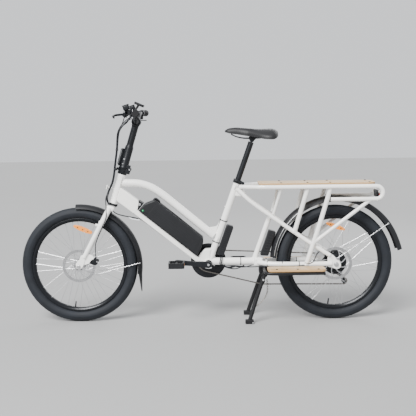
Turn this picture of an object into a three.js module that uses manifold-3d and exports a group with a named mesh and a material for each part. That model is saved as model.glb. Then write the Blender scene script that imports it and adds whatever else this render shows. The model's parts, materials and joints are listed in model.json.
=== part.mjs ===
// Longtail cargo bicycle with electric drive, standing level on both wheels and its double-leg stand.
// Millimetres. +X points rearwards, +Y to the rider's right, +Z up. Z = 0 is the ground.
import * as THREE from 'three';
import { mergeVertices } from 'three/addons/utils/BufferGeometryUtils.js';
import Module from 'manifold-3d';

const wasm = await Module();
wasm.setup();

// ---------------------------------------------------------------- driving dimensions
const GAP = 0.3;                       // clearance left between separate pieces
const WHEEL_RADIUS = 315;              // 24 inch rim with a 2.4 inch tyre
const TYRE_WIDTH = 61;
const FRONT_AXLE = [-720, 0, WHEEL_RADIUS];
const REAR_AXLE = [669, 0, WHEEL_RADIUS];
const CRANK_AXLE = [-18, 0, 320];
const CRANK_LENGTH = 170;
const CRANK_TURN = 5;                  // degrees the left crank arm points above level
const STEER_CENTRE = [-504, 0, 730];   // middle of the head tube
const SEAT_FOOT = [-18, 0, 308];        // where the seat tube's axis starts
const STEER_TILT = 16.9;               // degrees the steering axis leans back
const SEAT_TILT = 19.6;                // degrees the seat tube leans back
const TRAY_START = [-397, 0, 616];     // front end of the battery tray's top face
const TRAY_SLOPE = 39;                 // degrees the down tube falls towards the cranks
const RAIL_TOP = 737;                  // centre height of the rack's upper rail
const RAIL_LOW = 669;                  // centre height of the rack's lower rail
const RAIL_Y = 105;                    // rack rails, half spacing
const RAIL_RADIUS = 11.5;
const CHAIN_Y = 45;                    // plane of the chain
const STAND_PIVOT = [284, 0, 262];
const BOARD_Z = 305;                   // middle height of the running boards
const ROTOR_RADIUS = 90;

const rad = THREE.MathUtils.degToRad;

// ---------------------------------------------------------------- local frames
// A tilted frame: `along` runs up the axis, `back` runs across it towards the rear, `y` stays sideways.
function tiltedFrame(origin, tiltDegrees) {
  const s = Math.sin(rad(tiltDegrees));
  const c = Math.cos(rad(tiltDegrees));
  return (along, back = 0, y = 0) => [
    origin[0] + along * s + back * c,
    y,
    origin[2] + along * c - back * s,
  ];
}

const steer = tiltedFrame(STEER_CENTRE, STEER_TILT);
const seat = tiltedFrame(SEAT_FOOT, SEAT_TILT);
// On the tray, `along` runs down the down tube and `up` stands off its top face.
const tray = (along, up = 0, y = 0) => tiltedFrame(TRAY_START, 90 + TRAY_SLOPE)(along, -up, y);

// ---------------------------------------------------------------- solids
function toSolid(geometry) {
  const bare = geometry.clone();
  bare.deleteAttribute('normal');
  bare.deleteAttribute('uv');
  const merged = mergeVertices(bare, 1e-4);
  const vertProperties = new Float32Array(merged.attributes.position.array);
  const triVerts = new Uint32Array(merged.index.array);
  if (signedVolume(vertProperties, triVerts) < 0) {
    for (let i = 0; i < triVerts.length; i += 3) {
      [triVerts[i + 1], triVerts[i + 2]] = [triVerts[i + 2], triVerts[i + 1]];
    }
  }
  return new wasm.Manifold(new wasm.Mesh({ numProp: 3, vertProperties, triVerts }));
}

function signedVolume(positions, triangles) {
  const corners = [new THREE.Vector3(), new THREE.Vector3(), new THREE.Vector3()];
  let sum = 0;
  for (let i = 0; i < triangles.length; i += 3) {
    corners.forEach((corner, k) => corner.fromArray(positions, 3 * triangles[i + k]));
    sum += corners[0].dot(corners[1].clone().cross(corners[2])) / 6;
  }
  return sum;
}

function toGeometry(solid) {
  const mesh = solid.getMesh();
  const geometry = new THREE.BufferGeometry();
  geometry.setAttribute('position', new THREE.BufferAttribute(new Float32Array(mesh.vertProperties), 3));
  geometry.setIndex(new THREE.BufferAttribute(new Uint32Array(mesh.triVerts), 1));
  geometry.computeVertexNormals();
  return geometry;
}

const join = (...solids) => solids.flat().reduce((sum, solid) => sum.add(solid));
const cut = (solid, ...tools) => tools.flat().reduce((left, tool) => left.subtract(tool), solid);
const bothSides = (make) => [-1, 1].map(make);

// ---------------------------------------------------------------- basic shapes
// A straight round bar, or a cone when the two radii differ.
function rod(from, to, radius, sides = 12, endRadius = radius) {
  const a = new THREE.Vector3(...from);
  const b = new THREE.Vector3(...to);
  const geometry = new THREE.CylinderGeometry(endRadius, radius, a.distanceTo(b), sides);
  const turn = new THREE.Quaternion().setFromUnitVectors(
    new THREE.Vector3(0, 1, 0),
    b.clone().sub(a).normalize(),
  );
  geometry.applyQuaternion(turn);
  geometry.translate(...a.add(b).multiplyScalar(0.5).toArray());
  return toSolid(geometry);
}

// A box, turned about Y by the given angle.
function block(centre, size, turnDegrees = 0) {
  const geometry = new THREE.BoxGeometry(...size);
  geometry.rotateY(rad(turnDegrees));
  geometry.translate(...centre);
  return toSolid(geometry);
}

// A bent tube through hand-picked points.
function pipe(points, radius, steps = 12, sides = 10) {
  const path = new THREE.CatmullRomCurve3(points.map((p) => new THREE.Vector3(...p)), false, 'centripetal');
  const section = new THREE.Shape();
  section.absarc(0, 0, radius, 0, 2 * Math.PI);
  const geometry = new THREE.ExtrudeGeometry(section, {
    steps, extrudePath: path, curveSegments: sides / 2,
  });
  return toSolid(geometry);
}

// A flat plate whose outline is a list of [x, y, z] points in the bicycle's middle plane.
function plate(outline, thickness, y = 0) {
  const shape = new THREE.Shape(outline.map((p) => new THREE.Vector2(p[0], p[2])));
  const geometry = new THREE.ExtrudeGeometry(shape, { depth: thickness, bevelEnabled: false });
  geometry.rotateX(Math.PI / 2);
  geometry.translate(0, y + thickness / 2, 0);
  return toSolid(geometry);
}

// A round body about a sideways axle; the profile is [radius, y] pairs.
function turned(profile, centre, segments = 32) {
  const geometry = new THREE.LatheGeometry(profile.map((p) => new THREE.Vector2(...p)), segments);
  geometry.translate(centre[0], centre[1], centre[2]);
  return toSolid(geometry);
}

const disc = (centre, radius, width, segments = 24) => turned(
  [[0, -width / 2], [radius, -width / 2], [radius, width / 2], [0, width / 2]],
  centre,
  segments,
);

const ring = (centre, outer, inner, width, segments = 24) => turned(
  [[inner, -width / 2], [outer, -width / 2], [outer, width / 2], [inner, width / 2], [inner, -width / 2]],
  centre,
  segments,
);

const shift = (p, dx, dy, dz) => [p[0] + dx, p[1] + dy, p[2] + dz];

// ---------------------------------------------------------------- materials and the group
const COLOURS = {
  frame: { color: 0xe9e7e1, roughness: 0.35, metalness: 0.1 },
  black: { color: 0x17181a, roughness: 0.5, metalness: 0.2 },
  plastic: { color: 0x1b1c1e, roughness: 0.6, metalness: 0 },
  rubber: { color: 0x1a1e24, roughness: 0.9, metalness: 0 },
  steel: { color: 0x9b9da0, roughness: 0.35, metalness: 0.9 },
  wood: { color: 0xb98a55, roughness: 0.6, metalness: 0 },
  leather: { color: 0x232022, roughness: 0.65, metalness: 0 },
  lens: { color: 0xa01818, roughness: 0.25, metalness: 0 },
};

const bicycle = new THREE.Group();

function add(name, colour, solid) {
  const material = new THREE.MeshStandardMaterial({ ...COLOURS[colour], flatShading: true });
  const mesh = new THREE.Mesh(toGeometry(solid), material);
  mesh.name = name;
  bicycle.add(mesh);
}

// ---------------------------------------------------------------- frame tubes
const HEAD_HALF = 82;
const HEAD_RADIUS = 22;
const SEAT_TUBE_TOP = 476;
const SEAT_TUBE_RADIUS = 18;
const STAY_RADIUS = 11;
const CHAINSTAY_RADIUS = 13;

const headOuter = (grow = 0) => rod(
  steer(-HEAD_HALF - grow),
  steer(HEAD_HALF + grow),
  HEAD_RADIUS + grow,
  20,
);
const seatOuter = (grow = 0) => rod(
  seat(16 - grow),
  seat(SEAT_TUBE_TOP + grow),
  SEAT_TUBE_RADIUS + grow,
  16,
);
const crankShell = (grow = 0) => disc(CRANK_AXLE, 21 + grow, 73 + 2 * grow, 20);

// The head tube carries a small bracket in front, for a basket.
function headTube() {
  const stub = rod(steer(-8, -20), steer(-8, -56), 6, 10);
  const lug = block(steer(-8, -58), [6, 34, 24], STEER_TILT);
  const bore = rod(steer(-HEAD_HALF - 1), steer(HEAD_HALF + 1), 16.5, 16);
  return cut(join(headOuter(), stub, lug), bore);
}

function topTube(grow = 0) {
  const points = [
    [-490, 0, 762], [-440, 0, 760], [-387, 0, 756], [-332, 0, 739], [-278, 0, 707],
    [-196, 0, 641], [-60, 0, 527], [22, 0, 459],
  ];
  return pipe(points, 21 + grow, 11, 10);
}

// The front box that meets the head tube and the flat tray that carries the battery are one pressing.
function downTube() {
  const outline = [
    tray(-150, 39), tray(-28, 43), tray(-3, 0), tray(450, 0), tray(450, -28), tray(5, -34),
    tray(-122, -33),
  ];
  return cut(plate(outline, 56), headOuter(GAP), topTube(GAP), crankShell(GAP), seatOuter(GAP));
}

function seatTube() {
  const collar = rod(seat(SEAT_TUBE_TOP - 4), seat(SEAT_TUBE_TOP + 16), 23, 16);
  const ears = block(seat(SEAT_TUBE_TOP + 6, 24), [18, 22, 20], SEAT_TILT);
  const bore = rod(seat(110), seat(SEAT_TUBE_TOP + 20), 16.2, 16);
  return cut(join(seatOuter(), collar, ears), bore, crankShell(GAP));
}

const YOKE_X = 250;
const lowerTubeBar = (grow = 0) => rod([-10, 0, 326], [YOKE_X, 0, 323], 20 + grow, 12);
const STRUT_TOP = [318, 0, 572];

// The web that fills the corner between the seat tube, the cranks and the end of the battery tray.
function crankGusset() {
  const web = [tray(413, 1), [-38, 0, 397], [-2, 0, 397], [-14, 0, 330], [-28, 0, 312], [-50, 0, 312]];
  const trayEnd = [tray(300, GAP), tray(450 + GAP, GAP), tray(450 + GAP, -40), tray(300, -40)];
  return cut(plate(web, 40), plate(trayEnd, 60));
}

// Bottom bracket shell, lower tube, yoke, front strut with its cross bar, and the stand's bracket.
function baseTube() {
  const yoke = block([YOKE_X + 4, 0, 323], [48, 62, 46]);
  const strut = rod([232, 0, 335], STRUT_TOP, 13.5, 12);
  const bridge = rod(shift(STRUT_TOP, 0, -44, 0), shift(STRUT_TOP, 0, 44, 0), 9, 10);
  const bracket = block([STAND_PIVOT[0], 0, 281], [54, 60, 50]);
  const pivotBore = disc(STAND_PIVOT, 7.5, 160, 12);
  const shell = cut(crankShell(), disc(CRANK_AXLE, 12.6, 90, 16));
  const bar = cut(lowerTubeBar(), disc(CRANK_AXLE, 20.5, 90, 20));
  const body = join(bar, yoke, strut, bridge, bracket, shell, crankGusset());
  return cut(body, seatOuter(GAP), pivotBore, boardSupportTube(GAP), disc(CRANK_AXLE, 12.6, 90, 16));
}

const chainstayPath = (side) => [
  [252, side * 24, 321], [290, side * 46, 318], [345, side * 62, 317], [480, side * 70, 317],
  [645, side * 78, 319],
];

const chainstayTube = (side, grow = 0) => pipe(chainstayPath(side), CHAINSTAY_RADIUS + grow, 7, 8);

// The dropout plate's blank, before its axle slot is cut.
function dropoutBlank(side, grow = 0) {
  const outline = [[-44, -16], [6, -26], [24, -8], [16, 20], [-24, 52], [-46, 40]];
  const scale = 1 + grow / 20;
  return plate(
    outline.map(([x, z]) => [REAR_AXLE[0] + x * scale, 0, REAR_AXLE[2] + z * scale]),
    8 + 2 * grow,
    side * 74,
  );
}

function dropout(side) {
  const [x, , z] = REAR_AXLE;
  return cut(dropoutBlank(side), rod([x, side * 60, z], [x, side * 90, z], 7.6, 12));
}

function chainstays() {
  const sides = bothSides((side) => join(chainstayTube(side), dropout(side)));
  const joiner = rod([300, -52, 318], [300, 52, 318], 9, 10);
  return cut(join(...sides, joiner), block([YOKE_X + 4, 0, 323], [48.6, 62.6, 46.6]), lowerTubeBar(GAP));
}

const stayPath = (side) => [
  [142, side * 17, 722], [211, side * 30, 657], [344, side * 45, 561], [528, side * 65, 433],
  [636, side * 78, 364],
];
const stayTube = (side, grow = 0) => pipe(stayPath(side), STAY_RADIUS + grow, 5, 8);

const stayCover = (grow = 0) => rod([150, -20 - grow, 716], [150, 20 + grow, 716], 10 + grow, 10);

function upperStays() {
  const tubes = join(...bothSides((side) => stayTube(side)), stayCover());
  return cut(tubes, seatOuter(GAP), dropoutBlank(-1, GAP), dropoutBlank(1, GAP), bridgeGrown());
}

const bridgeGrown = () => rod(shift(STRUT_TOP, 0, -44.3, 0), shift(STRUT_TOP, 0, 44.3, 0), 9 + GAP, 10);

// ---------------------------------------------------------------- rack
function railPath(side) {
  const y = side * RAIL_Y;
  const middle = (RAIL_TOP + RAIL_LOW) / 2;
  const bend = (RAIL_TOP - RAIL_LOW) / 2;
  const loopX = 875;
  const loop = [60, 30, 0, -30, -60].map((angle) => [
    loopX + bend * Math.cos(rad(angle)), y, middle + bend * Math.sin(rad(angle)),
  ]);
  return [
    [156, side * 17, 733], [200, side * 62, 736], [262, side * 97, RAIL_TOP], [330, y, RAIL_TOP],
    [600, y, RAIL_TOP], [820, y, RAIL_TOP], [loopX, y, RAIL_TOP],
    ...loop,
    [loopX, y, RAIL_LOW], [820, y, RAIL_LOW], [634, y, RAIL_LOW],
  ];
}

const railTube = (side, grow = 0) => pipe(railPath(side), RAIL_RADIUS + grow, 34, 8);

function rackRail(side) {
  const tube = railTube(side);
  const crossbar = rod([905, -RAIL_Y, 700], [905, RAIL_Y - RAIL_RADIUS - 2, 700], 8, 10);
  const body = side < 0 ? join(tube, crossbar) : tube;
  return cut(body, seatOuter(GAP), stayTube(side, GAP), stayCover(GAP));
}

const crossbarAt = (x) => rod([x, -94, 735], [x, 94, 735], 8, 10);

// The rails and the long stays, grown by the gap, that the rack's hoops are cut to meet.
const rackTubes = () => bothSides((side) => [railTube(side, GAP), stayTube(side, GAP)]);

function frontArch() {
  const legs = bothSides((side) => rod([334, side * 50, 588], [374, side * 95, 736], 8, 10));
  return cut(join(...legs, crossbarAt(374)), ...rackTubes().flat());
}

function middleArch() {
  const legs = bothSides((side) => rod([447, side * 57, 492], [515, side * 95, 736], 12, 10));
  return cut(join(...legs, crossbarAt(515)), ...rackTubes().flat());
}

function rearArch() {
  const legs = bothSides((side) => pipe(
    [[510, side * 80, 326], [545, side * 86, 435], [592, side * 91, 585], [636, side * 95, 738]],
    12,
    6,
    8,
  ));
  const braces = bothSides((side) => rod([552, side * 86, 440], [838, side * 100, 660], 10, 10));
  const stays = bothSides((side) => chainstayTube(side, GAP));
  return cut(join(...legs, ...braces, crossbarAt(636)), ...rackTubes().flat(), ...stays);
}

function deck() {
  const [front, rear, half] = [256, 880, 84];
  const shape = new THREE.Shape();
  shape.moveTo(front, -half + 12);
  shape.lineTo(front + 12, -half);
  shape.lineTo(rear - 30, -half);
  shape.lineTo(rear, -half + 30);
  shape.lineTo(rear, half - 30);
  shape.lineTo(rear - 30, half);
  shape.lineTo(front + 12, half);
  shape.lineTo(front, half - 12);
  const geometry = new THREE.ExtrudeGeometry(shape, { depth: 12, bevelEnabled: false });
  geometry.translate(0, 0, 744);
  return toSolid(geometry);
}

function runningBoard(side) {
  const shape = new THREE.Shape();
  const [front, rear, inner, outer, corner] = [294, 599, 98, 200, 26];
  shape.moveTo(front, side * inner);
  shape.lineTo(front, side * (outer - corner));
  shape.quadraticCurveTo(front, side * outer, front + corner, side * outer);
  shape.lineTo(rear - corner, side * outer);
  shape.quadraticCurveTo(rear, side * outer, rear, side * (outer - corner));
  shape.lineTo(rear, side * inner);
  const geometry = new THREE.ExtrudeGeometry(shape, { depth: 12, bevelEnabled: false, curveSegments: 4 });
  geometry.translate(0, 0, BOARD_Z - 6);
  return toSolid(geometry);
}

// One bent tube: across under the yoke, then back under the outer edge of each running board.
function boardSupportTube(grow = 0) {
  const half = (side) => [
    [282, side * 60, 292], [282, side * 150, 290], [290, side * 176, 289], [312, side * 186, 288.5],
    [450, side * 186, 288.5], [596, side * 186, 288.5],
  ];
  const arms = bothSides((side) => pipe(half(side), 8.5 + grow, 12, 8));
  return join(...arms, rod([282, -62, 292], [282, 62, 292], 8.5 + grow, 8));
}

// ---------------------------------------------------------------- electrics
function battery() {
  const outline = [tray(6, GAP), tray(9, 49), tray(40, 101), tray(372, 99), tray(390, 79), tray(409, GAP)];
  const shell = plate(outline, 80);
  const handle = block(tray(52, 99), [40, 44, 10], TRAY_SLOPE);
  return join(shell, handle);
}

function batteryDock() {
  const outline = [tray(-27, 45), tray(0, 47), tray(5, 46), tray(4, 2), tray(-2, 1)];
  const lock = disc(shift(tray(-10, 30), 0, -30, 0), 8, 8, 12);
  return cut(join(plate(outline, 60), lock), downTubeTop());
}

const downTubeTop = () => plate(
  [tray(-150, 39.3), tray(-28, 43.3), tray(-2.6, 0.3), tray(450, 0.3), tray(450, -28), tray(-122, -33)],
  56.6,
);

function controllerBox() {
  const outline = [seat(68, 22), seat(238, 22), seat(244, 30), seat(244, 58), seat(236, 62), seat(74, 62)];
  return plate(outline, 44);
}

function junctionBox() {
  const outline = [[264, 0, 357], [308, 0, 354], [351, 0, 486], [312, 0, 498]];
  return plate(outline, 46);
}

function tailLight() {
  const body = block([900, 0, 690], [22, 84, 40]);
  return cut(body, rod([905, -80, 700], [905, 80, 700], 8 + GAP, 10));
}

// ---------------------------------------------------------------- chain drive
// Walks round a row of sprockets that a chain touches in order; `turn` is 1 inside the loop and -1 outside it.
function chainOutline(sprockets, offset) {
  const count = sprockets.length;
  const reach = (s) => s.radius + s.turn * offset;
  const leave = sprockets.map((a, i) => {
    const b = sprockets[(i + 1) % count];
    const dx = b.x - a.x;
    const dz = b.z - a.z;
    const lift = Math.asin((a.turn * reach(a) - b.turn * reach(b)) / Math.hypot(dx, dz));
    return Math.atan2(dz, dx) + Math.PI / 2 - lift;
  });
  const points = [];
  sprockets.forEach((s, i) => {
    const start = leave[(i + count - 1) % count];
    let sweep = (leave[i] - start) % (2 * Math.PI);
    if (s.turn * sweep > 0) sweep -= s.turn * 2 * Math.PI;
    const steps = Math.max(1, Math.ceil(Math.abs(sweep) / rad(18)));
    for (let k = 0; k <= steps; k += 1) {
      const angle = start + sweep * k / steps;
      const r = s.turn * reach(s);
      points.push([s.x + r * Math.cos(angle), 0, s.z + r * Math.sin(angle)]);
    }
  });
  return points;
}

const CHAINRING_RADIUS = 60.8;         // 30 teeth
const COG_RADIUS = 36.5;               // 18 teeth
const SPROCKETS = [
  { x: CRANK_AXLE[0], z: CRANK_AXLE[2], radius: CHAINRING_RADIUS, turn: 1 },
  { x: REAR_AXLE[0], z: REAR_AXLE[2], radius: COG_RADIUS, turn: 1 },
  { x: 702, z: 252, radius: 18, turn: -1 },
  { x: 730, z: 199, radius: 18, turn: 1 },
  { x: 280, z: 202, radius: 17, turn: 1 },
];

const chain = () => cut(
  plate(chainOutline(SPROCKETS, 4), 7, CHAIN_Y),
  plate(chainOutline(SPROCKETS, -4), 9, CHAIN_Y),
);

function chainring() {
  const teeth = disc(shift(CRANK_AXLE, 0, CHAIN_Y + 0.5, 0), CHAINRING_RADIUS - 5.4, 7.4, 24);
  const guard = turned([[50, 4], [97, 4], [97, 7], [50, 7], [50, 4]], shift(CRANK_AXLE, 0, CHAIN_Y, 0), 24);
  return cut(join(teeth, guard), disc(shift(CRANK_AXLE, 0, CHAIN_Y, 0), 24, 20, 20));
}

// The point on the pedal's axis at the end of a crank arm, `y` out from the middle.
function crankEye(side, y = 0) {
  const ahead = CRANK_LENGTH * Math.cos(rad(CRANK_TURN));
  const rise = CRANK_LENGTH * Math.sin(rad(CRANK_TURN));
  return shift(CRANK_AXLE, side * ahead, y, -side * rise);
}

// Both arms and the spindle that joins them; the left arm points forwards.
function crankArms() {
  const spindle = disc(CRANK_AXLE, 11, 150, 12);
  const spider = disc(shift(CRANK_AXLE, 0, CHAIN_Y + 4, 0), 23.6, 14, 20);
  const arms = bothSides((side) => {
    const root = shift(CRANK_AXLE, 0, side * 76, 0);
    const eye = crankEye(side, side * 76);
    const middle = root.map((value, axis) => (value + eye[axis]) / 2);
    const arm = block(middle, [CRANK_LENGTH, 12, 29], CRANK_TURN);
    const ends = [disc(shift(root, 0, -side * 2, 0), 18, 18, 12), disc(eye, 14.5, 14, 12)];
    return cut(join(arm, ...ends), disc(eye, 7, 30, 10));
  });
  return join(spindle, spider, ...arms);
}

function pedal(side) {
  const axle = rod(crankEye(side, side * 70), crankEye(side, side * 190), 6.4, 10);
  const centre = crankEye(side, side * 142);
  const body = block(centre, [84, 96, 28]);
  const gaps = bothSides((end) => block(shift(centre, end * 25, 0, 0), [24, 72, 40]));
  return join(cut(body, ...gaps), axle);
}

function cassette() {
  const profile = [
    [18, 35], [57, 35], [57, 37], [50, 39], [44, 40.8], [31.6, 40.8], [31.6, 49.2], [30, 52], [27, 56],
    [24, 60], [18, 60], [18, 35],
  ];
  return turned(profile, REAR_AXLE, 18);
}

function derailleurBody() {
  const hanger = plate([[664, 0, 290], [684, 0, 290], [694, 0, 262], [674, 0, 262]], 7, 74);
  const arm = rod([684, 62, 268], [702, 62, 252], 10, 10);
  const knuckle = rod([680, 58, 270], [680, 77, 270], 11, 12);
  const pivotBore = rod([702, 40, 252], [702, 90, 252], 8.6, 12);
  return cut(join(hanger, knuckle, arm), pivotBore, dropoutBlank(1, GAP));
}

function derailleurCage() {
  const [guide, tension] = [SPROCKETS[2], SPROCKETS[3]];
  const wheels = [guide, tension].map((s) => disc([s.x, CHAIN_Y, s.z], s.radius - 4.7, 4, 10));
  const bridge = [
    [guide.x - 9, 0, guide.z - 9], [guide.x + 9, 0, guide.z + 9],
    [tension.x + 9, 0, tension.z + 9], [tension.x - 9, 0, tension.z - 9],
  ];
  const sideAt = (y) => join(
    rod([guide.x, y - 1, guide.z], [guide.x, y + 1, guide.z], 15, 8),
    rod([tension.x, y - 1, tension.z], [tension.x, y + 1, tension.z], 15, 8),
    plate(bridge, 2, y),
  );
  const pins = [guide, tension].map((s) => rod([s.x, CHAIN_Y - 7, s.z], [s.x, CHAIN_Y + 7, s.z], 4, 6));
  const pivot = rod([guide.x, CHAIN_Y + 5, guide.z], [guide.x, CHAIN_Y + 25, guide.z], 8, 12);
  return join(...wheels, sideAt(CHAIN_Y - 6), sideAt(CHAIN_Y + 6), ...pins, pivot);
}

// Hangs beside the bracket on the stand's shaft and presses the chain's lower run down.
function chainGuide() {
  const { x, z } = SPROCKETS[4];
  const hanger = plate([[x - 9, 0, z - 9], [x + 9, 0, z - 9], [x + 21, 0, 276], [x - 13, 0, 276]], 4, 34);
  const wheel = disc([x, CHAIN_Y, z], 12.4, 10, 16);
  const pin = rod([x, 33, z], [x, 54, z], 4, 10);
  return cut(join(wheel, pin, hanger), disc(STAND_PIVOT, 8, 120, 12));
}

// ---------------------------------------------------------------- wheels
const WHEEL_SIDES = 32;
const RIM_OUTER = 258;
const RIM_INNER = 238;

function tyre(axle) {
  const middle = WHEEL_RADIUS - TYRE_WIDTH / 2;
  const foot = RIM_OUTER + 0.6;
  const footAngle = Math.acos((middle - foot) / (TYRE_WIDTH / 2));
  const arcSteps = 8;
  const profile = [];
  for (let i = 0; i <= arcSteps; i += 1) {
    const angle = -Math.PI + footAngle + (2 * Math.PI - 2 * footAngle) * i / arcSteps;
    profile.push([middle + TYRE_WIDTH / 2 * Math.cos(angle), TYRE_WIDTH / 2 * Math.sin(angle)]);
  }
  profile.push(profile[0]);
  return turned(profile, axle, WHEEL_SIDES);
}

// Rim, hub shell and crossed spokes; `lever` is how far each spoke's line passes from the axle.
function spokedWheel(axle, { flangeRadius, flangeY, lever, hubProfile, bore }) {
  const rim = turned(
    [[RIM_INNER, -10], [RIM_INNER + 8, -17.5], [RIM_OUTER, -17.5], [RIM_OUTER, 17.5], [RIM_INNER + 8, 17.5],
      [RIM_INNER, 10], [RIM_INNER, -10]],
    axle,
    WHEEL_SIDES,
  );
  const hub = cut(turned(hubProfile, axle, 16), disc(axle, bore, 200, 12));
  const swing = Math.acos(lever / RIM_INNER) - Math.acos(lever / flangeRadius);
  const spokes = [];
  const perSide = 18;
  for (let i = 0; i < perSide; i += 1) {
    bothSides((side) => {
      const start = rad(360 / perSide) * (i + (side > 0 ? 0.5 : 0));
      const end = start + (i % 2 ? swing : -swing);
      const weave = i % 2 ? 2 : -2;
      const [near, far] = [flangeRadius * 0.97, RIM_INNER + 4];
      spokes.push(rod(
        shift(axle, near * Math.cos(start), side * (flangeY + weave), near * Math.sin(start)),
        shift(axle, far * Math.cos(end), side * (4 + weave), far * Math.sin(end)),
        1.4,
        3,
      ));
    });
  }
  return join(rim, hub, ...spokes);
}

const frontWheel = () => spokedWheel(FRONT_AXLE, {
  flangeRadius: 27, flangeY: 27, lever: 25, bore: 8,
  hubProfile: [[0, -33], [14, -33], [14, -29], [29, -29], [29, -25], [15, -20], [15, 20], [29, 25], [29, 29],
    [14, 29], [14, 36], [0, 36]],
});

const rearWheel = () => spokedWheel(REAR_AXLE, {
  flangeRadius: 62, flangeY: 24, lever: 55, bore: 10,
  hubProfile: [[0, -44], [24, -44], [48, -34], [52, -28], [64, -27], [64, -21], [55, -18], [55, 18], [64, 21],
    [64, 27], [52, 28], [40, 33], [0, 33]],
});

function rotor(axle, y) {
  const centre = shift(axle, 0, y, 0);
  const track = ring(centre, ROTOR_RADIUS, 74, 2, 24);
  const carrier = ring(centre, 30, 16, 2, 12);
  const arms = [0, 60, 120, 180, 240, 300].map((angle) => {
    const at = (radius, turn) => {
      const direction = rad(angle + turn);
      return shift(centre, radius * Math.cos(direction), 0, radius * Math.sin(direction));
    };
    const points = [at(27, 0), at(45, 12), at(62, 18), at(77, 18)];
    const width = 5;
    const [dx, dz] = [-width * Math.sin(rad(angle)), width * Math.cos(rad(angle))];
    const outline = [
      ...points.map((p) => shift(p, dx, 0, dz)),
      ...points.reverse().map((p) => shift(p, -dx, 0, -dz)),
    ];
    return plate(outline, 2, y);
  });
  return join(track, carrier, ...arms);
}

function caliper(centre, rotorCentre, size) {
  const slot = disc(rotorCentre, ROTOR_RADIUS + 3, 4, 36);
  return cut(block(centre, size, 20), slot);
}

function frontAxlePin() {
  const shaft = disc(FRONT_AXLE, 5.5, 140, 10);
  const nuts = bothSides((side) => disc(shift(FRONT_AXLE, 0, side * 68, 0), 10, 9, 6));
  return join(shaft, ...nuts);
}

function rearAxlePin() {
  const shaft = disc(REAR_AXLE, 7, 176, 12);
  const nuts = bothSides((side) => disc(shift(REAR_AXLE, 0, side * 83, 0), 12, 9, 6));
  return join(shaft, ...nuts);
}

// ---------------------------------------------------------------- fenders
// A curved channel about the axle, kept between two angles measured from +X towards +Z.
function fenderBand(centre, radius, halfWidth, fromDegrees, toDegrees) {
  const skin = 3;
  const lip = 20;
  const profile = [
    [radius - lip, -halfWidth], [radius, -halfWidth + 9], [radius, halfWidth - 9], [radius - lip, halfWidth],
    [radius - lip, halfWidth - skin], [radius - skin, halfWidth - 11], [radius - skin, -halfWidth + 11],
    [radius - lip, -halfWidth + skin], [radius - lip, -halfWidth],
  ];
  const steps = 6;
  const reach = radius * 1.6;
  const sector = [[centre[0], 0, centre[2]]];
  for (let i = 0; i <= steps; i += 1) {
    const angle = rad(fromDegrees + (toDegrees - fromDegrees) * i / steps);
    sector.push([centre[0] + reach * Math.cos(angle), 0, centre[2] + reach * Math.sin(angle)]);
  }
  return turned(profile, centre, 40).intersect(plate(sector, halfWidth * 2 + 20));
}

function frontFender() {
  const band = fenderBand([-716, 0, 309], 338, 35, -8, 93);
  const flap = plate([[-385, 0, 288], [-380, 0, 288], [-385, 0, 165], [-389, 0, 165]], 62);
  const stays = bothSides((side) => pipe(
    [[-690, side * 66, 302], [-640, side * 50, 272], [-520, side * 44, 296], [-392, side * 33.5, 326]],
    2.2,
    8,
    6,
  ));
  const bracket = block([-548, 0, 600], [30, 22, 16], 30);
  return cut(join(band, flap, ...stays, bracket), forkLegs(GAP), forkCrown(GAP));
}

function rearFender() {
  const band = fenderBand([678.93, 0, 321], 362, 37, 10, 176);
  const stays = bothSides((side) => pipe(
    [[672, side * 81, 348], [760, side * 70, 402], [860, side * 52, 466], [955, side * 35.5, 527]],
    2.2,
    8,
    6,
  ));
  return join(band, ...stays);
}

// ---------------------------------------------------------------- fork and cockpit
const forkLegs = (grow = 0) => bothSides((side) => join(
  rod(steer(-108, -10, side * 50), [-690, side * 55, 362], 15 + grow, 12, 12 + grow),
  plate(
    [
      [-704, 0, 372], [-676, 0, 372], [-694, 0, 318], [-712, 0, 300 - grow], [-730, 0, 300 - grow],
      [-734, 0, 330],
    ],
    6 + 2 * grow,
    side * 55,
  ),
));
const forkCrown = (grow = 0) => block(
  steer(-108, -6),
  [44 + 2 * grow, 122 + 2 * grow, 26 + 2 * grow],
  STEER_TILT,
);

function fork() {
  const steerer = rod(steer(-112), steer(112), 14.3, 16);
  const seatRing = rod(steer(-97), steer(-HEAD_HALF - GAP), 21, 16);
  const bosses = bothSides((side) => rod([-603, side * 52, 536], [-624, side * 54, 541], 7, 8));
  const axleSlots = bothSides((side) => disc(shift(FRONT_AXLE, 0, side * 55, 0), 5.9, 20, 12));
  return cut(join(...forkLegs(), forkCrown(), steerer, seatRing, ...bosses), ...axleSlots);
}

const FOLD_AT = 118;
const FOLD_BACK = 34;

function stemBase() {
  const collar = rod(steer(HEAD_HALF + GAP), steer(FOLD_AT - GAP), 25, 16);
  const ear = block(steer(FOLD_AT - 14, 28), [30, 44, 26], STEER_TILT);
  const pinRoom = rod(steer(FOLD_AT, FOLD_BACK, -40), steer(FOLD_AT, FOLD_BACK, 40), 9.5, 14);
  const toe = block(steer(FOLD_AT - 12, -27), [16, 22, 14], STEER_TILT);
  return cut(join(collar, ear, toe), pinRoom, rod(steer(60), steer(113), 14.8, 16));
}

function stemPost() {
  const housing = rod(steer(FOLD_AT + GAP), steer(236), 23, 16);
  const knuckle = rod(steer(FOLD_AT, FOLD_BACK, -22), steer(FOLD_AT, FOLD_BACK, 22), 9, 14);
  const arm = block(steer(FOLD_AT + 10, 22), [24, 44, 20], STEER_TILT);
  const post = rod(steer(230), steer(356), 18.5, 16);
  const head = rod(steer(374, 0, -26), steer(374, 0, 26), 25, 16);
  const barHole = rod(steer(374, 0, -30), steer(374, 0, 30), 16.3, 16);
  const below = block(steer(FOLD_AT - 20), [200, 200, 40], STEER_TILT);
  const folded = cut(join(housing, arm), below);
  return cut(join(folded, knuckle, post, head), barHole);
}

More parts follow.
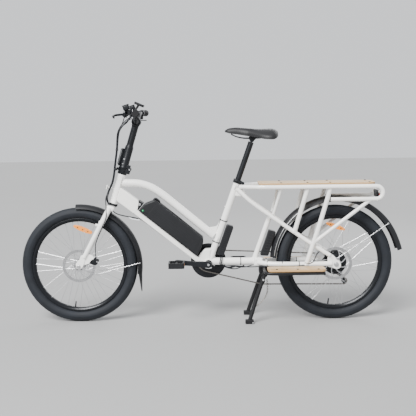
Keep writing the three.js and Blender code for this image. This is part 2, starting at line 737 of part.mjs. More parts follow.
// The latch lies against the front of the post and turns about its lower pin.
function stemLatch() {
  const lever = block(steer(172, -28.5), [8, 24, 92], STEER_TILT);
  const pivot = rod(steer(128, -28.8, -13), steer(128, -28.8, 13), 5, 12);
  return join(lever, pivot);
}

function handlebarPath() {
  const [x, , z] = steer(374);
  const half = (side) => [
    [x + 1, side * 45, z + 3], [x + 8, side * 110, z + 38], [x + 12, side * 165, z + 46],
    [x + 14.4, side * 200, z + 46], [x + 18.6, side * 262, z + 46], [x + 24, side * 342, z + 46],
  ];
  return [...half(-1).reverse(), [x, 0, z], ...half(1)];
}

function handlebar() {
  return pipe(handlebarPath(), 11, 22, 8);
}

function gripLine(side, y) {
  const [x, , z] = steer(374);
  return [x + 12 + 12 * (y - 165) / 177, side * y, z + 46];
}

function grip(side) {
  const body = rod(gripLine(side, 212), gripLine(side, 344), 16.5, 14);
  const flange = rod(gripLine(side, 339), gripLine(side, 345), 18.5, 14);
  const bore = rod(gripLine(side, 200), gripLine(side, 342.5), 11.9, 12);
  return cut(join(body, flange), bore);
}

// A brake blade: it leaves its pin forwards, bends outwards and falls slightly to its tip.
function brakeLever(side) {
  const pivot = shift(gripLine(side, 176), -56, 0, -4);
  const path = [[0, 0, 0], [-44, 26, -5], [-54, 70, -10], [-42, 136, -15]].map(
    ([dx, dy, dz]) => shift(pivot, dx, side * dy, dz),
  );
  const blade = pipe(path, 6, 10, 8);
  const eye = rod(shift(pivot, 0, 0, -8), shift(pivot, 0, 0, 8), 9, 12);
  return join(blade, eye);
}

// Clamp and arm that carry one brake lever.
function control(side) {
  const at = gripLine(side, 176);
  const band = rod(gripLine(side, 164), gripLine(side, 188), 17, 14);
  const arm = block(shift(at, -36, side * -18, 4), [70, 16, 24]);
  const clear = cut(arm, rod(gripLine(side, 140), gripLine(side, 172), 14, 12));
  return cut(join(band, clear), rod(gripLine(side, 163), gripLine(side, 205), 11.9, 12));
}

// A thumb paddle on a ring that turns about the bar.
function throttlePaddle() {
  const collar = rod(gripLine(-1, 193), gripLine(-1, 206), 16, 14);
  const tab = block(shift(gripLine(-1, 199.5), 6, 0, -24), [22, 12, 26], -20);
  return cut(join(collar, tab), rod(gripLine(-1, 185), gripLine(-1, 215), 11.9, 12));
}

function display() {
  const [x, , z] = steer(374);
  const clampRing = rod([x - 4, -44, z + 1], [x - 4, -32, z + 1], 18, 14);
  const bar = pipe(handlebarPath(), 11 + GAP, 22, 8);
  const stalk = rod([x - 6, -38, z + 14], [x + 16, -38, z + 90], 6, 8);
  const face = block([x + 20, -30, z + 92], [52, 74, 14], 24);
  return cut(join(clampRing, stalk, face), bar);
}

// The right-hand clamp runs on under the shifter's pod.
function controlRight() {
  const collar = rod(gripLine(1, 187), gripLine(1, 206), 17, 14);
  const pod = block(shift(gripLine(1, 198), -12, 0, -24), [40, 14, 24]);
  return cut(join(control(1), collar, pod), rod(gripLine(1, 180), gripLine(1, 215), 11.9, 12));
}

// The thumb lever lies just under the pod.
function shiftPaddle() {
  const pivot = shift(gripLine(1, 198), -16, 0, -40);
  const eye = rod(shift(pivot, 0, 0, -3), shift(pivot, 0, 0, 3), 9, 12);
  return join(eye, block(shift(pivot, 22, 4, 0), [40, 12, 5]));
}

// ---------------------------------------------------------------- seat and stand
function seatpost() {
  const tube = rod(seat(278), seat(712), 15.5, 16);
  const head = block(seat(718), [46, 50, 16], SEAT_TILT);
  return join(tube, head);
}

function seatLever() {
  const at = (back, y) => seat(SEAT_TUBE_TOP + 6, back, y);
  const pin = rod(at(33.6, -26), at(33.6, -12), 5, 10);
  const blade = pipe([at(33.6, -26), at(14, -29), at(-10, -28.5), at(-30, -22)], 4.5, 10, 8);
  return join(pin, blade);
}

function saddle() {
  const outline = new THREE.Shape();
  outline.moveTo(80, 0);
  outline.bezierCurveTo(78, 22, 96, 24, 120, 24);
  outline.bezierCurveTo(190, 28, 215, 62, 262, 100);
  outline.bezierCurveTo(300, 122, 352, 112, 356, 60);
  outline.bezierCurveTo(360, 30, 352, 10, 350, 0);
  outline.bezierCurveTo(352, -10, 360, -30, 356, -60);
  outline.bezierCurveTo(352, -112, 300, -122, 262, -100);
  outline.bezierCurveTo(215, -62, 190, -28, 120, -24);
  outline.bezierCurveTo(96, -24, 78, -22, 80, 0);
  const cushion = new THREE.ExtrudeGeometry(outline, {
    depth: 24,
    bevelEnabled: true,
    bevelThickness: 9,
    bevelSize: 5,
    bevelOffset: -2,
    bevelSegments: 2,
    curveSegments: 3,
  });
  cushion.translate(0, 0, 1018);
  const keel = block([250, 0, 1000], [120, 56, 30], 0);
  return cut(join(toSolid(cushion), keel), block(seat(722), [50, 54, 25], SEAT_TILT));
}

function stand() {
  const [px, , pz] = STAND_PIVOT;
  const shaft = disc(STAND_PIVOT, 7, 150, 12);
  const legs = bothSides((side) => join(
    disc(shift(STAND_PIVOT, 0, side * 74, 0), 15, 14, 16),
    pipe([[px, side * 74, pz], [px - 32, side * 80, pz - 90], [px - 84, side * 99, pz - 248]], 10, 4, 8),
    block([px - 84, side * 100, 11], [46, 30, 22]),
  ));
  return join(shaft, ...legs);
}

// ---------------------------------------------------------------- assembly
add('head_tube', 'frame', headTube());
add('top_tube', 'frame', cut(topTube(), headOuter(GAP), seatOuter(GAP)));
add('down_tube', 'frame', downTube());
add('seat_tube', 'frame', seatTube());
add('base_tube', 'frame', baseTube());
add('chainstays', 'frame', chainstays());
add('upper_stays', 'frame', upperStays());
add('front_arch', 'frame', frontArch());
add('middle_arch', 'frame', middleArch());
add('rear_arch', 'frame', rearArch());
add('rack_rail_left', 'frame', rackRail(-1));
add('rack_rail_right', 'frame', rackRail(1));
add('deck', 'wood', deck());
add('running_board_left', 'wood', runningBoard(-1));
add('running_board_right', 'wood', runningBoard(1));
add('board_support', 'black', boardSupportTube());
add('battery', 'plastic', battery());
add('battery_dock', 'plastic', batteryDock());
add('controller_box', 'black', controllerBox());
add('junction_box', 'black', junctionBox());
add('tail_light', 'lens', tailLight());
add('chain', 'steel', chain());
add('chainring', 'black', chainring());
add('crank_arms', 'black', crankArms());
add('pedal_left', 'black', pedal(-1));
add('pedal_right', 'black', pedal(1));
add('cassette', 'steel', cassette());
add('derailleur_body', 'black', derailleurBody());
add('derailleur_cage', 'black', derailleurCage());
add('chain_guide', 'plastic', chainGuide());
add('front_tyre', 'rubber', tyre(FRONT_AXLE));
add('front_wheel', 'steel', frontWheel());
add('front_rotor', 'steel', rotor(FRONT_AXLE, -38));
add('front_axle', 'steel', frontAxlePin());
add('front_caliper', 'black', caliper([-640, -38, 340], shift(FRONT_AXLE, 0, -38, 0), [52, 24, 36]));
add('front_fender', 'plastic', frontFender());
add('rear_tyre', 'rubber', tyre(REAR_AXLE));
add('rear_wheel', 'steel', rearWheel());
add('rear_rotor', 'steel', rotor(REAR_AXLE, -50));
add('rear_axle', 'steel', rearAxlePin());
add('rear_caliper', 'steel', caliper([582, -50, 362], shift(REAR_AXLE, 0, -50, 0), [48, 26, 36]));
add('rear_fender', 'plastic', rearFender());
add('fork', 'frame', fork());
add('stem_base', 'black', stemBase());
add('stem_post', 'black', stemPost());
add('stem_latch', 'black', stemLatch());
add('handlebar', 'black', handlebar());
add('grip_left', 'rubber', grip(-1));
add('grip_right', 'rubber', grip(1));
add('brake_lever_left', 'black', brakeLever(-1));
add('brake_lever_right', 'black', brakeLever(1));
add('control_left', 'plastic', control(-1));
add('control_right', 'plastic', controlRight());
add('throttle_paddle', 'plastic', throttlePaddle());
add('display', 'plastic', display());
add('shift_paddle', 'plastic', shiftPaddle());
add('seatpost', 'black', seatpost());
add('saddle', 'leather', saddle());
add('seat_lever', 'steel', seatLever());
add('stand', 'black', stand());

export default bicycle;
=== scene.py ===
import json
import math

import bmesh
import bpy
from mathutils import Matrix, Vector, noise

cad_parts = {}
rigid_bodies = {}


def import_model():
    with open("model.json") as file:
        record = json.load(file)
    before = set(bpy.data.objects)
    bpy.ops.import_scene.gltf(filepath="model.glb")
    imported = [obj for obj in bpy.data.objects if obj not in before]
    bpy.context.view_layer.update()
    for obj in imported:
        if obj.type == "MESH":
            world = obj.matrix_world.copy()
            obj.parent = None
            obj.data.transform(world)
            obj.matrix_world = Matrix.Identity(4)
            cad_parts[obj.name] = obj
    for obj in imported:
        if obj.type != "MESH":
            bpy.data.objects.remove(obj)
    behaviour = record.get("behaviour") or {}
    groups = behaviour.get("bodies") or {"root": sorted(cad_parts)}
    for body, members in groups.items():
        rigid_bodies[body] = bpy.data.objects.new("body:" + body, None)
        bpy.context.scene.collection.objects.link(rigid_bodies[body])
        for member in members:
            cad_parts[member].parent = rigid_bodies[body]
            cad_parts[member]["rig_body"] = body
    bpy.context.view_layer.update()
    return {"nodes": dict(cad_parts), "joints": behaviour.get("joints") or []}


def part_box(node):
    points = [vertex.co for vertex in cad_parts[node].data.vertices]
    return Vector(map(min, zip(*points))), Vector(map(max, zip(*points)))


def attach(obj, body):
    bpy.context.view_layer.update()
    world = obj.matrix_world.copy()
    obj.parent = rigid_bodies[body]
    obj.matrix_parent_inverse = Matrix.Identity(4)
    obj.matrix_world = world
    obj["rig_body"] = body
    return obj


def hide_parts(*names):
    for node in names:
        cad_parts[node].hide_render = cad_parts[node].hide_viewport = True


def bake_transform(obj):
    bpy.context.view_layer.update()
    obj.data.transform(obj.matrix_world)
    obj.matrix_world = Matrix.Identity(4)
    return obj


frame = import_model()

METRE = 1000.0
X, Y, Z = Vector((1, 0, 0)), Vector((0, 1, 0)), Vector((0, 0, 1))
SIDES = (-1, 1)
JOINTS = {joint["name"]: joint for joint in frame["joints"]}
BODY_OF = {name: node["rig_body"] for name, node in frame["nodes"].items()}


def pivot(joint):
    return Vector(JOINTS[joint]["pos_m"]) * METRE


def middle(node):
    low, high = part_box(node)
    return (low + high) * METRE / 2


def reach(node):
    """Lowest and highest corner of a CAD node, in millimetres."""
    low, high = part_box(node)
    return low * METRE, high * METRE


FRONT, REAR, CRANK = pivot("front_wheel_spin"), pivot("rear_wheel_spin"), pivot("crank_spin")


def leaning(origin, axis):
    """A way to name points by their place along a leaning line, behind it and sideways."""
    along_axis = Vector(axis).normalized()
    behind_axis = Vector((along_axis.z, 0, -along_axis.x))

    def place(along, behind=0, y=0):
        return origin + along_axis * along + behind_axis * behind + Y * y

    place.up, place.back = along_axis, behind_axis
    return place


TRAY_START = Vector((-397, 0, 616))
TRAY_SLOPE = math.radians(39)
steer = leaning(pivot("steering_turn"), JOINTS["steering_turn"]["axis"])
seat = leaning(Vector((-18, 0, 308)), JOINTS["seatpost_slide"]["axis"])
tray = leaning(TRAY_START, (math.cos(TRAY_SLOPE), 0, -math.sin(TRAY_SLOPE)))
tray.back = -tray.back


def on_tray(along, up=0, y=0):
    return TRAY_START + tray.up * along + tray.back * up + Y * y


# ---------------------------------------------------------------- materials
LOOK = "look_"


def new_material(name, colour, rough, metal=0.0, coat=0.0, sheen=0.0):
    material = bpy.data.materials.new(LOOK + name)
    material.use_nodes = True
    shader = material.node_tree.nodes["Principled BSDF"]
    shader.inputs["Base Color"].default_value = (*colour, 1)
    shader.inputs["Roughness"].default_value = rough
    if max(colour) < 0.05:
        # dark surfaces reflect less, so that they stay black in the bright studio
        shader.inputs["Specular IOR Level"].default_value = 0.28
    shader.inputs["Metallic"].default_value = metal
    shader.inputs["Coat Weight"].default_value = coat
    shader.inputs["Coat Roughness"].default_value = 0.08
    shader.inputs["Sheen Weight"].default_value = sheen
    return material


class Nodes:
    """Short names for the nodes that the materials share."""

    def __init__(self, material):
        self.tree = material.node_tree
        self.shader = self.tree.nodes["Principled BSDF"]
        self.place = self.add("ShaderNodeTexCoord").outputs["Object"]

    def add(self, kind, **settings):
        node = self.tree.nodes.new(kind)
        for key, value in settings.items():
            if key in node.inputs:
                node.inputs[key].default_value = value
            else:
                setattr(node, key, value)
        return node

    def link(self, output, target):
        self.tree.links.new(output, target)

    def stretched(self, scale):
        mapping = self.add("ShaderNodeMapping")
        mapping.inputs["Scale"].default_value = scale
        self.link(self.place, mapping.inputs["Vector"])
        return mapping.outputs["Vector"]

    def noise(self, size_mm, detail=3.0, stretch=None):
        node = self.add("ShaderNodeTexNoise", Scale=METRE / size_mm, Detail=detail)
        self.link(self.stretched(stretch) if stretch else self.place, node.inputs["Vector"])
        return node.outputs["Fac"]

    def ramp(self, value, stops):
        node = self.add("ShaderNodeValToRGB")
        ramp = node.color_ramp
        while len(ramp.elements) < len(stops):
            ramp.elements.new(0.5)
        for element, (position, colour) in zip(ramp.elements, stops):
            element.position = position
            element.color = (*colour, 1) if len(colour) == 3 else (colour[0],) * 3 + (1,)
        self.link(value, node.inputs["Fac"])
        return node.outputs["Color"]

    def colour(self, value, stops):
        self.link(self.ramp(value, stops), self.shader.inputs["Base Color"])

    def roughness(self, value, low, high):
        node = self.add("ShaderNodeMapRange")
        node.inputs["To Min"].default_value = low
        node.inputs["To Max"].default_value = high
        self.link(value, node.inputs["Value"])
        self.link(node.outputs["Result"], self.shader.inputs["Roughness"])

    def bump(self, height, depth_mm, strength=1.0):
        node = self.add("ShaderNodeBump", Strength=strength, Distance=depth_mm / METRE)
        self.link(height, node.inputs["Height"])
        self.link(node.outputs["Normal"], self.shader.inputs["Normal"])


def shade(colour, factor):
    return tuple(min(1.0, channel * factor) for channel in colour)


def mottled(name, colour, rough, *, metal=0.0, coat=0.0, sheen=0.0, patch=60, spread=0.12,
            grain=0.6, depth=0.05, rough_spread=0.08, stretch=None):
    """A finish with slow colour change over `patch` mm and a fine relief of `grain` mm."""
    material = new_material(name, colour, rough, metal, coat, sheen)
    nodes = Nodes(material)
    slow = nodes.noise(patch, 4.0)
    nodes.colour(slow, [(0.3, shade(colour, 1 - spread)), (0.7, shade(colour, 1 + spread))])
    fine = nodes.noise(grain, 2.0, stretch)
    nodes.roughness(fine, rough - rough_spread, rough + rough_spread)
    nodes.bump(fine, depth)
    return material


def plywood(name):
    """Birch faces with long pale grain, and warm layered edges where the board is cut."""
    material = new_material(name, (0.75, 0.6, 0.42), 0.45, coat=0.15)
    nodes = Nodes(material)
    grain = nodes.noise(9, 6.0, (0.06, 1.0, 1.0))
    face = nodes.ramp(grain, [(0.3, (0.40, 0.25, 0.11)), (0.5, (0.53, 0.35, 0.17)),
                              (0.7, (0.60, 0.42, 0.22))])
    height = nodes.add("ShaderNodeSeparateXYZ")
    nodes.link(nodes.place, height.inputs["Vector"])
    layers = nodes.add("ShaderNodeMath", operation="MULTIPLY")
    layers.inputs[1].default_value = METRE / 3.0
    nodes.link(height.outputs["Z"], layers.inputs[0])
    step = nodes.add("ShaderNodeMath", operation="FRACT")
    nodes.link(layers.outputs["Value"], step.inputs[0])
    edge = nodes.ramp(step.outputs["Value"], [(0.35, (0.36, 0.20, 0.08)), (0.6, (0.54, 0.34, 0.15))])
    normal = nodes.add("ShaderNodeSeparateXYZ")
    nodes.link(nodes.add("ShaderNodeNewGeometry").outputs["Normal"], normal.inputs["Vector"])
    upright = nodes.add("ShaderNodeMath", operation="ABSOLUTE")
    nodes.link(normal.outputs["Z"], upright.inputs[0])
    is_face = nodes.add("ShaderNodeMapRange")
    is_face.inputs["From Min"].default_value = 0.35
    is_face.inputs["From Max"].default_value = 0.65
    nodes.link(upright.outputs["Value"], is_face.inputs["Value"])
    mix = nodes.add("ShaderNodeMix", data_type="RGBA")
    nodes.link(is_face.outputs["Result"], mix.inputs[0])
    nodes.link(edge, mix.inputs[6])
    nodes.link(face, mix.inputs[7])
    nodes.link(mix.outputs[2], nodes.shader.inputs["Base Color"])
    nodes.roughness(grain, 0.38, 0.55)
    nodes.bump(grain, 0.12)
    return material


def pebbled(name, colour, rough, cell, depth, sheen=0.0):
    """Moulded vinyl or rubber with a pebble grain of `cell` mm."""
    material = new_material(name, colour, rough, sheen=sheen)
    nodes = Nodes(material)
    cells = nodes.add("ShaderNodeTexVoronoi", Scale=METRE / cell)
    nodes.link(nodes.place, cells.inputs["Vector"])
    slow = nodes.noise(45, 3.0)
    nodes.colour(slow, [(0.3, shade(colour, 0.8)), (0.7, shade(colour, 1.2))])
    nodes.roughness(slow, rough - 0.06, rough + 0.08)
    nodes.bump(cells.outputs["Distance"], depth)
    return material


def lens(name, colour, cell):
    """Coloured prismatic plastic."""
    material = new_material(name, colour, 0.22, coat=0.8)
    nodes = Nodes(material)
    cells = nodes.add("ShaderNodeTexVoronoi", Scale=METRE / cell, feature="F1", distance="CHEBYCHEV")
    nodes.link(nodes.place, cells.inputs["Vector"])
    nodes.colour(cells.outputs["Distance"], [(0.1, shade(colour, 0.75)), (0.6, shade(colour, 1.25))])
    nodes.roughness(cells.outputs["Distance"], 0.15, 0.35)
    nodes.bump(cells.outputs["Distance"], 0.5)
    return material


def make_materials():
    made = [
        mottled("frame_paint", (0.90, 0.89, 0.86), 0.26, coat=0.6, patch=140, spread=0.03, grain=1.6,
                depth=0.03, rough_spread=0.04),
        mottled("black_paint", (0.008, 0.008, 0.009), 0.42, patch=50, grain=0.5, depth=0.05),
        mottled("black_alloy", (0.009, 0.010, 0.012), 0.34, metal=0.2, patch=40, grain=0.8, depth=0.03),
        mottled("grey_alloy", (0.55, 0.56, 0.57), 0.32, metal=0.9, patch=30, grain=0.7, depth=0.03),
        mottled("rim_black", (0.008, 0.009, 0.011), 0.22, metal=0.3, patch=60, grain=0.8, depth=0.02),
        mottled("black_plastic", (0.009, 0.0095, 0.011), 0.46, patch=60, grain=0.9, depth=0.09),
        plywood("plywood"),
        pebbled("tyre_rubber", (0.010, 0.012, 0.016), 0.66, 1.6, 0.08, sheen=0.04),
        pebbled("grip_rubber", (0.008, 0.008, 0.009), 0.7, 1.4, 0.25, sheen=0.03),
        mottled("steel", (0.62, 0.62, 0.63), 0.28, metal=1.0, patch=25, grain=0.6, depth=0.02),
        mottled("rotor_steel", (0.58, 0.58, 0.59), 0.3, metal=1.0, patch=20, grain=0.4, depth=0.03),
        lens("red_lens", (0.55, 0.012, 0.012), 2.4),
        pebbled("saddle_leather", (0.010, 0.010, 0.011), 0.44, 1.1, 0.12, sheen=0.05),
        lens("orange_lens", (0.95, 0.26, 0.015), 2.2),
        mottled("chain_steel", (0.15, 0.14, 0.13), 0.34, metal=0.9, patch=14, spread=0.25, grain=0.5,
                depth=0.03),
        mottled("cable_black", (0.008, 0.009, 0.012), 0.35, patch=30, grain=0.6, depth=0.03),
        mottled("screen_glass", (0.010, 0.012, 0.016), 0.1, coat=1.0, patch=30, grain=3, depth=0.0,
                rough_spread=0.02),
        mottled("green_light", (0.02, 0.45, 0.16), 0.3, patch=8, grain=1, depth=0.02),
        mottled("clear_lens", (0.80, 0.82, 0.84), 0.12, coat=0.8, patch=12, grain=2.2, depth=0.2),
        mottled("plug_yellow", (0.50, 0.33, 0.05), 0.5, patch=8, grain=1, depth=0.02),
    ]
    return {material.name.removeprefix(LOOK): material for material in made}


MATERIALS = make_materials()


# ---------------------------------------------------------------- shapes
class Shape:
    """Points and faces of one piece, painted as they are added."""

    def __init__(self, paint):
        self.points, self.faces, self.paints = [], [], []
        self.paint = paint

    def add(self, points, faces):
        base = len(self.points)
        self.points += [Vector(p) for p in points]
        self.faces += [tuple(base + i for i in face) for face in faces]
        self.paints += [self.paint] * len(faces)

    def skin(self, rings, loop=False):
        """Joins rings of points in a row. A ring of one point is a tip."""
        points = [p for ring in rings for p in ring]
        starts = [sum(len(ring) for ring in rings[:i]) for i in range(len(rings))]
        pairs = list(zip(range(len(rings) - 1), range(1, len(rings))))
        if loop:
            pairs.append((len(rings) - 1, 0))
        faces = []
        for a, b in pairs:
            count = max(len(rings[a]), len(rings[b]))
            for i in range(count):
                j = (i + 1) % count
                if len(rings[a]) == 1:
                    faces.append((starts[a], starts[b] + j, starts[b] + i))
                elif len(rings[b]) == 1:
                    faces.append((starts[a] + i, starts[a] + j, starts[b]))
                else:
                    faces.append((starts[a] + i, starts[a] + j, starts[b] + j, starts[b] + i))
        self.add(points, faces)


def make(name, shape, node=None, body=None, also=(), sharp=38):
    """Makes the mesh, rides it on its body and stands it for the CAD nodes that it replaces."""
    mesh = bpy.data.meshes.new(name)
    mesh.from_pydata([p / METRE for p in shape.points], [], shape.faces)
    paints = sorted(set(shape.paints), key=shape.paints.index)
    for paint in paints:
        mesh.materials.append(MATERIALS[paint])
    mesh.polygons.foreach_set("material_index", [paints.index(paint) for paint in shape.paints])
    clean = bmesh.new()
    clean.from_mesh(mesh)
    bmesh.ops.remove_doubles(clean, verts=clean.verts, dist=2e-6)
    bmesh.ops.recalc_face_normals(clean, faces=clean.faces)
    for face in clean.faces:
        face.smooth = True
    clean.to_mesh(mesh)
    clean.free()
    mesh.set_sharp_from_angle(angle=math.radians(sharp))
    obj = bpy.data.objects.new(name, mesh)
    bpy.context.scene.collection.objects.link(obj)
    if body is not None or node is not None:
        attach(obj, body or BODY_OF[node])
    if node is not None:
        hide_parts(node, *also)
    return obj


def curve(points, per_span=8):
    """A smooth line through the points (centripetal Catmull-Rom)."""
    given = [Vector(p) for p in points]
    given = [2 * given[0] - given[1], *given, 2 * given[-1] - given[-2]]
    line = []
    for a, b, c, d in zip(given, given[1:], given[2:], given[3:]):
        t1 = (b - a).length ** 0.5
        t2 = t1 + (c - b).length ** 0.5
        t3 = t2 + (d - c).length ** 0.5
        for i in range(per_span):
            t = t1 + (t2 - t1) * i / per_span
            ab, bc, cd = a.lerp(b, t / t1), b.lerp(c, (t - t1) / (t2 - t1)), c.lerp(d, (t - t2) / (t3 - t2))
            left, right = ab.lerp(bc, t / t2), bc.lerp(cd, (t - t1) / (t3 - t1))
            line.append(left.lerp(right, (t - t1) / (t2 - t1)))
    line.append(given[-2])
    return line


def sections(line, hint=Y, closed=False):
    """Two cross axes at each point of a line, carried along it without twist."""
    count = len(line)
    result = []
    across = Vector(hint)
    for i in range(count):
        before = line[i - 1] if i or closed else line[0]
        after = line[(i + 1) % count] if i < count - 1 or closed else line[-1]
        ahead = (after - before).normalized()
        across = across - ahead * across.dot(ahead)
        if across.length < 0.05:
            across = X - ahead * X.dot(ahead)
            if across.length < 0.05:
                across = Z - ahead * Z.dot(ahead)
        across = across.normalized()
        result.append((across, ahead.cross(across)))
    return result


def circle(centre, radius, a, b, sides):
    turns = [2 * math.pi * i / sides for i in range(sides)]
    return [centre + a * (radius * math.cos(t)) + b * (radius * math.sin(t)) for t in turns]


def tube(shape, line, radius, sides=20, flat=1.0, closed=False, edge=0.8):
    """A round bar along a line. `radius` may be a list, one for each point; `flat` squeezes it sideways."""
    line = [Vector(p) for p in line]
    radii = list(radius) if hasattr(radius, "__len__") else [radius] * len(line)
    if not closed:
        edge = min(edge, radii[0] * 0.4, radii[-1] * 0.4)
        first, last = (line[1] - line[0]).normalized(), (line[-1] - line[-2]).normalized()
        line = [line[0], line[0] + first * edge, *line[1:-1], line[-1] - last * edge, line[-1]]
        radii = [radii[0] - edge, radii[0], *radii[1:-1], radii[-1], radii[-1] - edge]
    rings = []
    for centre, r, (across, up) in zip(line, radii, sections(line, closed=closed)):
        rings.append(circle(centre, r, across * flat, up, sides))
    if not closed:
        rings = [[line[0]], *rings, [line[-1]]]
    shape.skin(rings, loop=closed)


def bar(shape, start, end, radius, end_radius=None, sides=20, edge=0.8):
    tube(shape, [start, end], [radius, radius if end_radius is None else end_radius], sides, edge=edge)


def spin(shape, profile, centre, axis=Y, sides=48):
    """Turns (radius, along) pairs about an axis through the centre. A profile that starts and ends off the
    axis is closed into a ring."""
    axis = Vector(axis).normalized()
    a = axis.orthogonal().normalized()
    b = axis.cross(a)
    rings = []
    for radius, along in profile:
        place = Vector(centre) + axis * along
        rings.append([place] if radius == 0 else circle(place, radius, a, b, sides))
    shape.skin(rings, loop=profile[0][0] != 0)


def soften(corners, radius, steps=4):
    """A 2-D outline with its corners rounded."""
    result = []
    count = len(corners)
    for i, corner in enumerate(corners):
        here = Vector(corner)
        before, after = Vector(corners[i - 1]) - here, Vector(corners[(i + 1) % count]) - here
        cut = min(radius, before.length * 0.45, after.length * 0.45)
        start, end = here + before.normalized() * cut, here + after.normalized() * cut
        for k in range(steps + 1):
            t = k / steps
            result.append(start * (1 - t) ** 2 + here * (2 * t * (1 - t)) + end * t ** 2)
    return result


def crossing(a, b, c, d):
    """Where the line through a and b meets the line through c and d."""
    first, second = b - a, d - c
    cross = first[0] * second[1] - first[1] * second[0]
    if abs(cross) < 1e-9:
        return (b + c) / 2
    gap = c - a
    return a + first * ((gap[0] * second[1] - gap[1] * second[0]) / cross)


def inset(outline, distance):
    """The outline moved inwards. Round corners smaller than the distance shrink to a point."""
    old = [Vector(p) for p in outline]
    count = len(old)
    area = sum(a[0] * b[1] - a[1] * b[0] for a, b in zip(old, [*old[1:], old[0]]))
    turn = distance if area > 0 else -distance
    moved = []
    for i, here in enumerate(old):
        ahead = (old[(i + 1) % count] - old[i - 1]).normalized()
        moved.append(here + Vector((-ahead[1], ahead[0])) * turn)
    keeps = [(moved[(i + 1) % count] - moved[i]).dot(old[(i + 1) % count] - old[i]) > 0 for i in range(count)]
    result = list(moved)
    for i in range(count):
        if keeps[i] or not keeps[i - 1]:
            continue
        run = 1
        while not keeps[(i + run) % count] and run < count:
            run += 1
        end = (i + run) % count
        point = crossing(moved[i - 1], moved[i], moved[end], moved[(end + 1) % count])
        for k in range(run + 1):
            result[(i + k) % count] = point
    return result


def prism(shape, outline, thickness, centre=(0, 0, 0), u=X, v=Z, w=Y, edge=1.2):
    """A plate or box: a 2-D outline in the axes u and v, thick along w, with rounded edges."""
    centre = Vector(centre)
    half = thickness / 2
    edge = min(edge, half * 0.9)
    steps = 4 if edge > 2.5 else 2
    turns = [math.pi / 2 * k / steps for k in range(steps + 1)]
    lower = [(edge * (1 - math.sin(t)), -half + edge * (1 - math.cos(t))) for t in turns]
    lower.insert(0, (edge + min(edge * 0.3, 0.6), -half))
    levels = lower + [(inward, -height) for inward, height in reversed(lower)]
    rings = []
    for inward, height in levels:
        flat = inset(outline, inward) if inward > 1e-6 else [Vector(p) for p in outline]
        rings.append([centre + u * p[0] + v * p[1] + w * height for p in flat])
    base = len(shape.points)
    shape.skin(rings)
    count = len(outline)
    top = base + count * (len(levels) - 1)
    shape.faces += [tuple(range(base + count - 1, base - 1, -1)), tuple(range(top, top + count))]
    shape.paints += [shape.paint] * 2


def box(shape, centre, size, u=X, v=Z, w=Y, corner=3, edge=1.2):
    """A rounded box: size along u, v and w."""
    a, b = size[0] / 2, size[1] / 2
    prism(shape, soften([(-a, -b), (a, -b), (a, b), (-a, b)], corner), size[2], centre, u, v, w, edge)


def washer(shape, outer, inner, thickness, centre, u=X, v=Z, w=Y):
    """A flat ring between two 2-D outlines of as many points."""
    centre = Vector(centre)
    rings = []
    for outline, height in ((outer, -0.5), (outer, 0.5), (inner, 0.5), (inner, -0.5)):
        rings.append([centre + u * p[0] + v * p[1] + w * (height * thickness) for p in outline])
    shape.skin(rings, loop=True)


def round_outline(radius, count, start=0.0):
    return [
        Vector((radius * math.cos(start + 2 * math.pi * i / count),
                radius * math.sin(start + 2 * math.pi * i / count)))
        for i in range(count)
    ]


def toothed(radius, teeth, depth):
    """A sprocket's outline: four points a tooth."""
    points = []
    for i in range(teeth):
        for part, height in ((0.0, -depth), (0.3, -depth * 0.8), (0.45, depth * 0.55), (0.6, depth * 0.55),
                             (0.75, -depth * 0.8)):
            turn = 2 * math.pi * (i + part) / teeth
            points.append(Vector(((radius + height) * math.cos(turn), (radius + height) * math.sin(turn))))
    return points


def bolt(shape, place, axis, radius=4, height=4, socket=True):
    """A round-headed bolt with a hexagon socket."""
    profile = [(0, 0), (radius, 0), (radius, height * 0.7), (radius * 0.85, height)]
    if socket:
        profile += [(radius * 0.5, height), (radius * 0.45, height * 0.45), (0, height * 0.4)]
    else:
        profile += [(0, height * 1.15)]
    spin(shape, profile, place, axis, 12)


def nut(shape, place, axis, radius=9, height=7):
    top = [(radius * 0.88, height), (radius * 0.6, height), (0, height)]
    profile = [(0, 0), (radius, 0), (radius, height * 0.9), *top]
    spin(shape, profile, place, axis, 6)


def bead(shape, start, ahead, radius, other, axis, other_radius, thick=2.4, sides=36):
    """The rippled weld where a tube leaving `start` along `ahead` comes out of another tube's wall."""
    ahead, axis = Vector(ahead).normalized(), Vector(axis).normalized()
    a = (Y - ahead * Y.dot(ahead)).normalized() if abs(ahead.y) < 0.9 else X
    line = []
    for rim in circle(Vector(start), radius, a, ahead.cross(a), sides):
        gap, run = rim - Vector(other), ahead
        gap, run = gap - axis * gap.dot(axis), run - axis * run.dot(axis)
        p, q, r = run.dot(run), gap.dot(run), gap.dot(gap) - other_radius ** 2
        root = max(0.0, q * q - p * r)
        line.append(rim + ahead * ((-q + math.sqrt(root)) / p))
    radii = [thick * (1 + 0.16 * math.sin(i * 2.1)) for i in range(sides)]
    tube(shape, line, radii, 8, closed=True)


# ---------------------------------------------------------------- frame
HEAD_RADIUS, TOP_RADIUS, SEAT_RADIUS, STAY_RADIUS, CHAINSTAY_RADIUS, RAIL_RADIUS = 22, 21, 18, 11, 13, 11.5
RAIL_TOP, RAIL_LOW, RAIL_Y = 737, 669, 105
SHELL_RADIUS, LOWER_RADIUS = 21, 20
YOKE = Vector((254, 0, 323))
STRUT_TOP = Vector((318, 0, 572))
STAND = pivot("stand_swing")


def mid(x, z, y=0):
    return Vector((x, y, z))


def ray(turn, reach=1):
    """The way from a wheel's centre at an angle from +X, `reach` long."""
    return mid(reach * math.cos(turn), reach * math.sin(turn))


def flat_points(points):
    """Points of the middle plane as a 2-D outline."""
    return [(p[0], p[2]) for p in points]


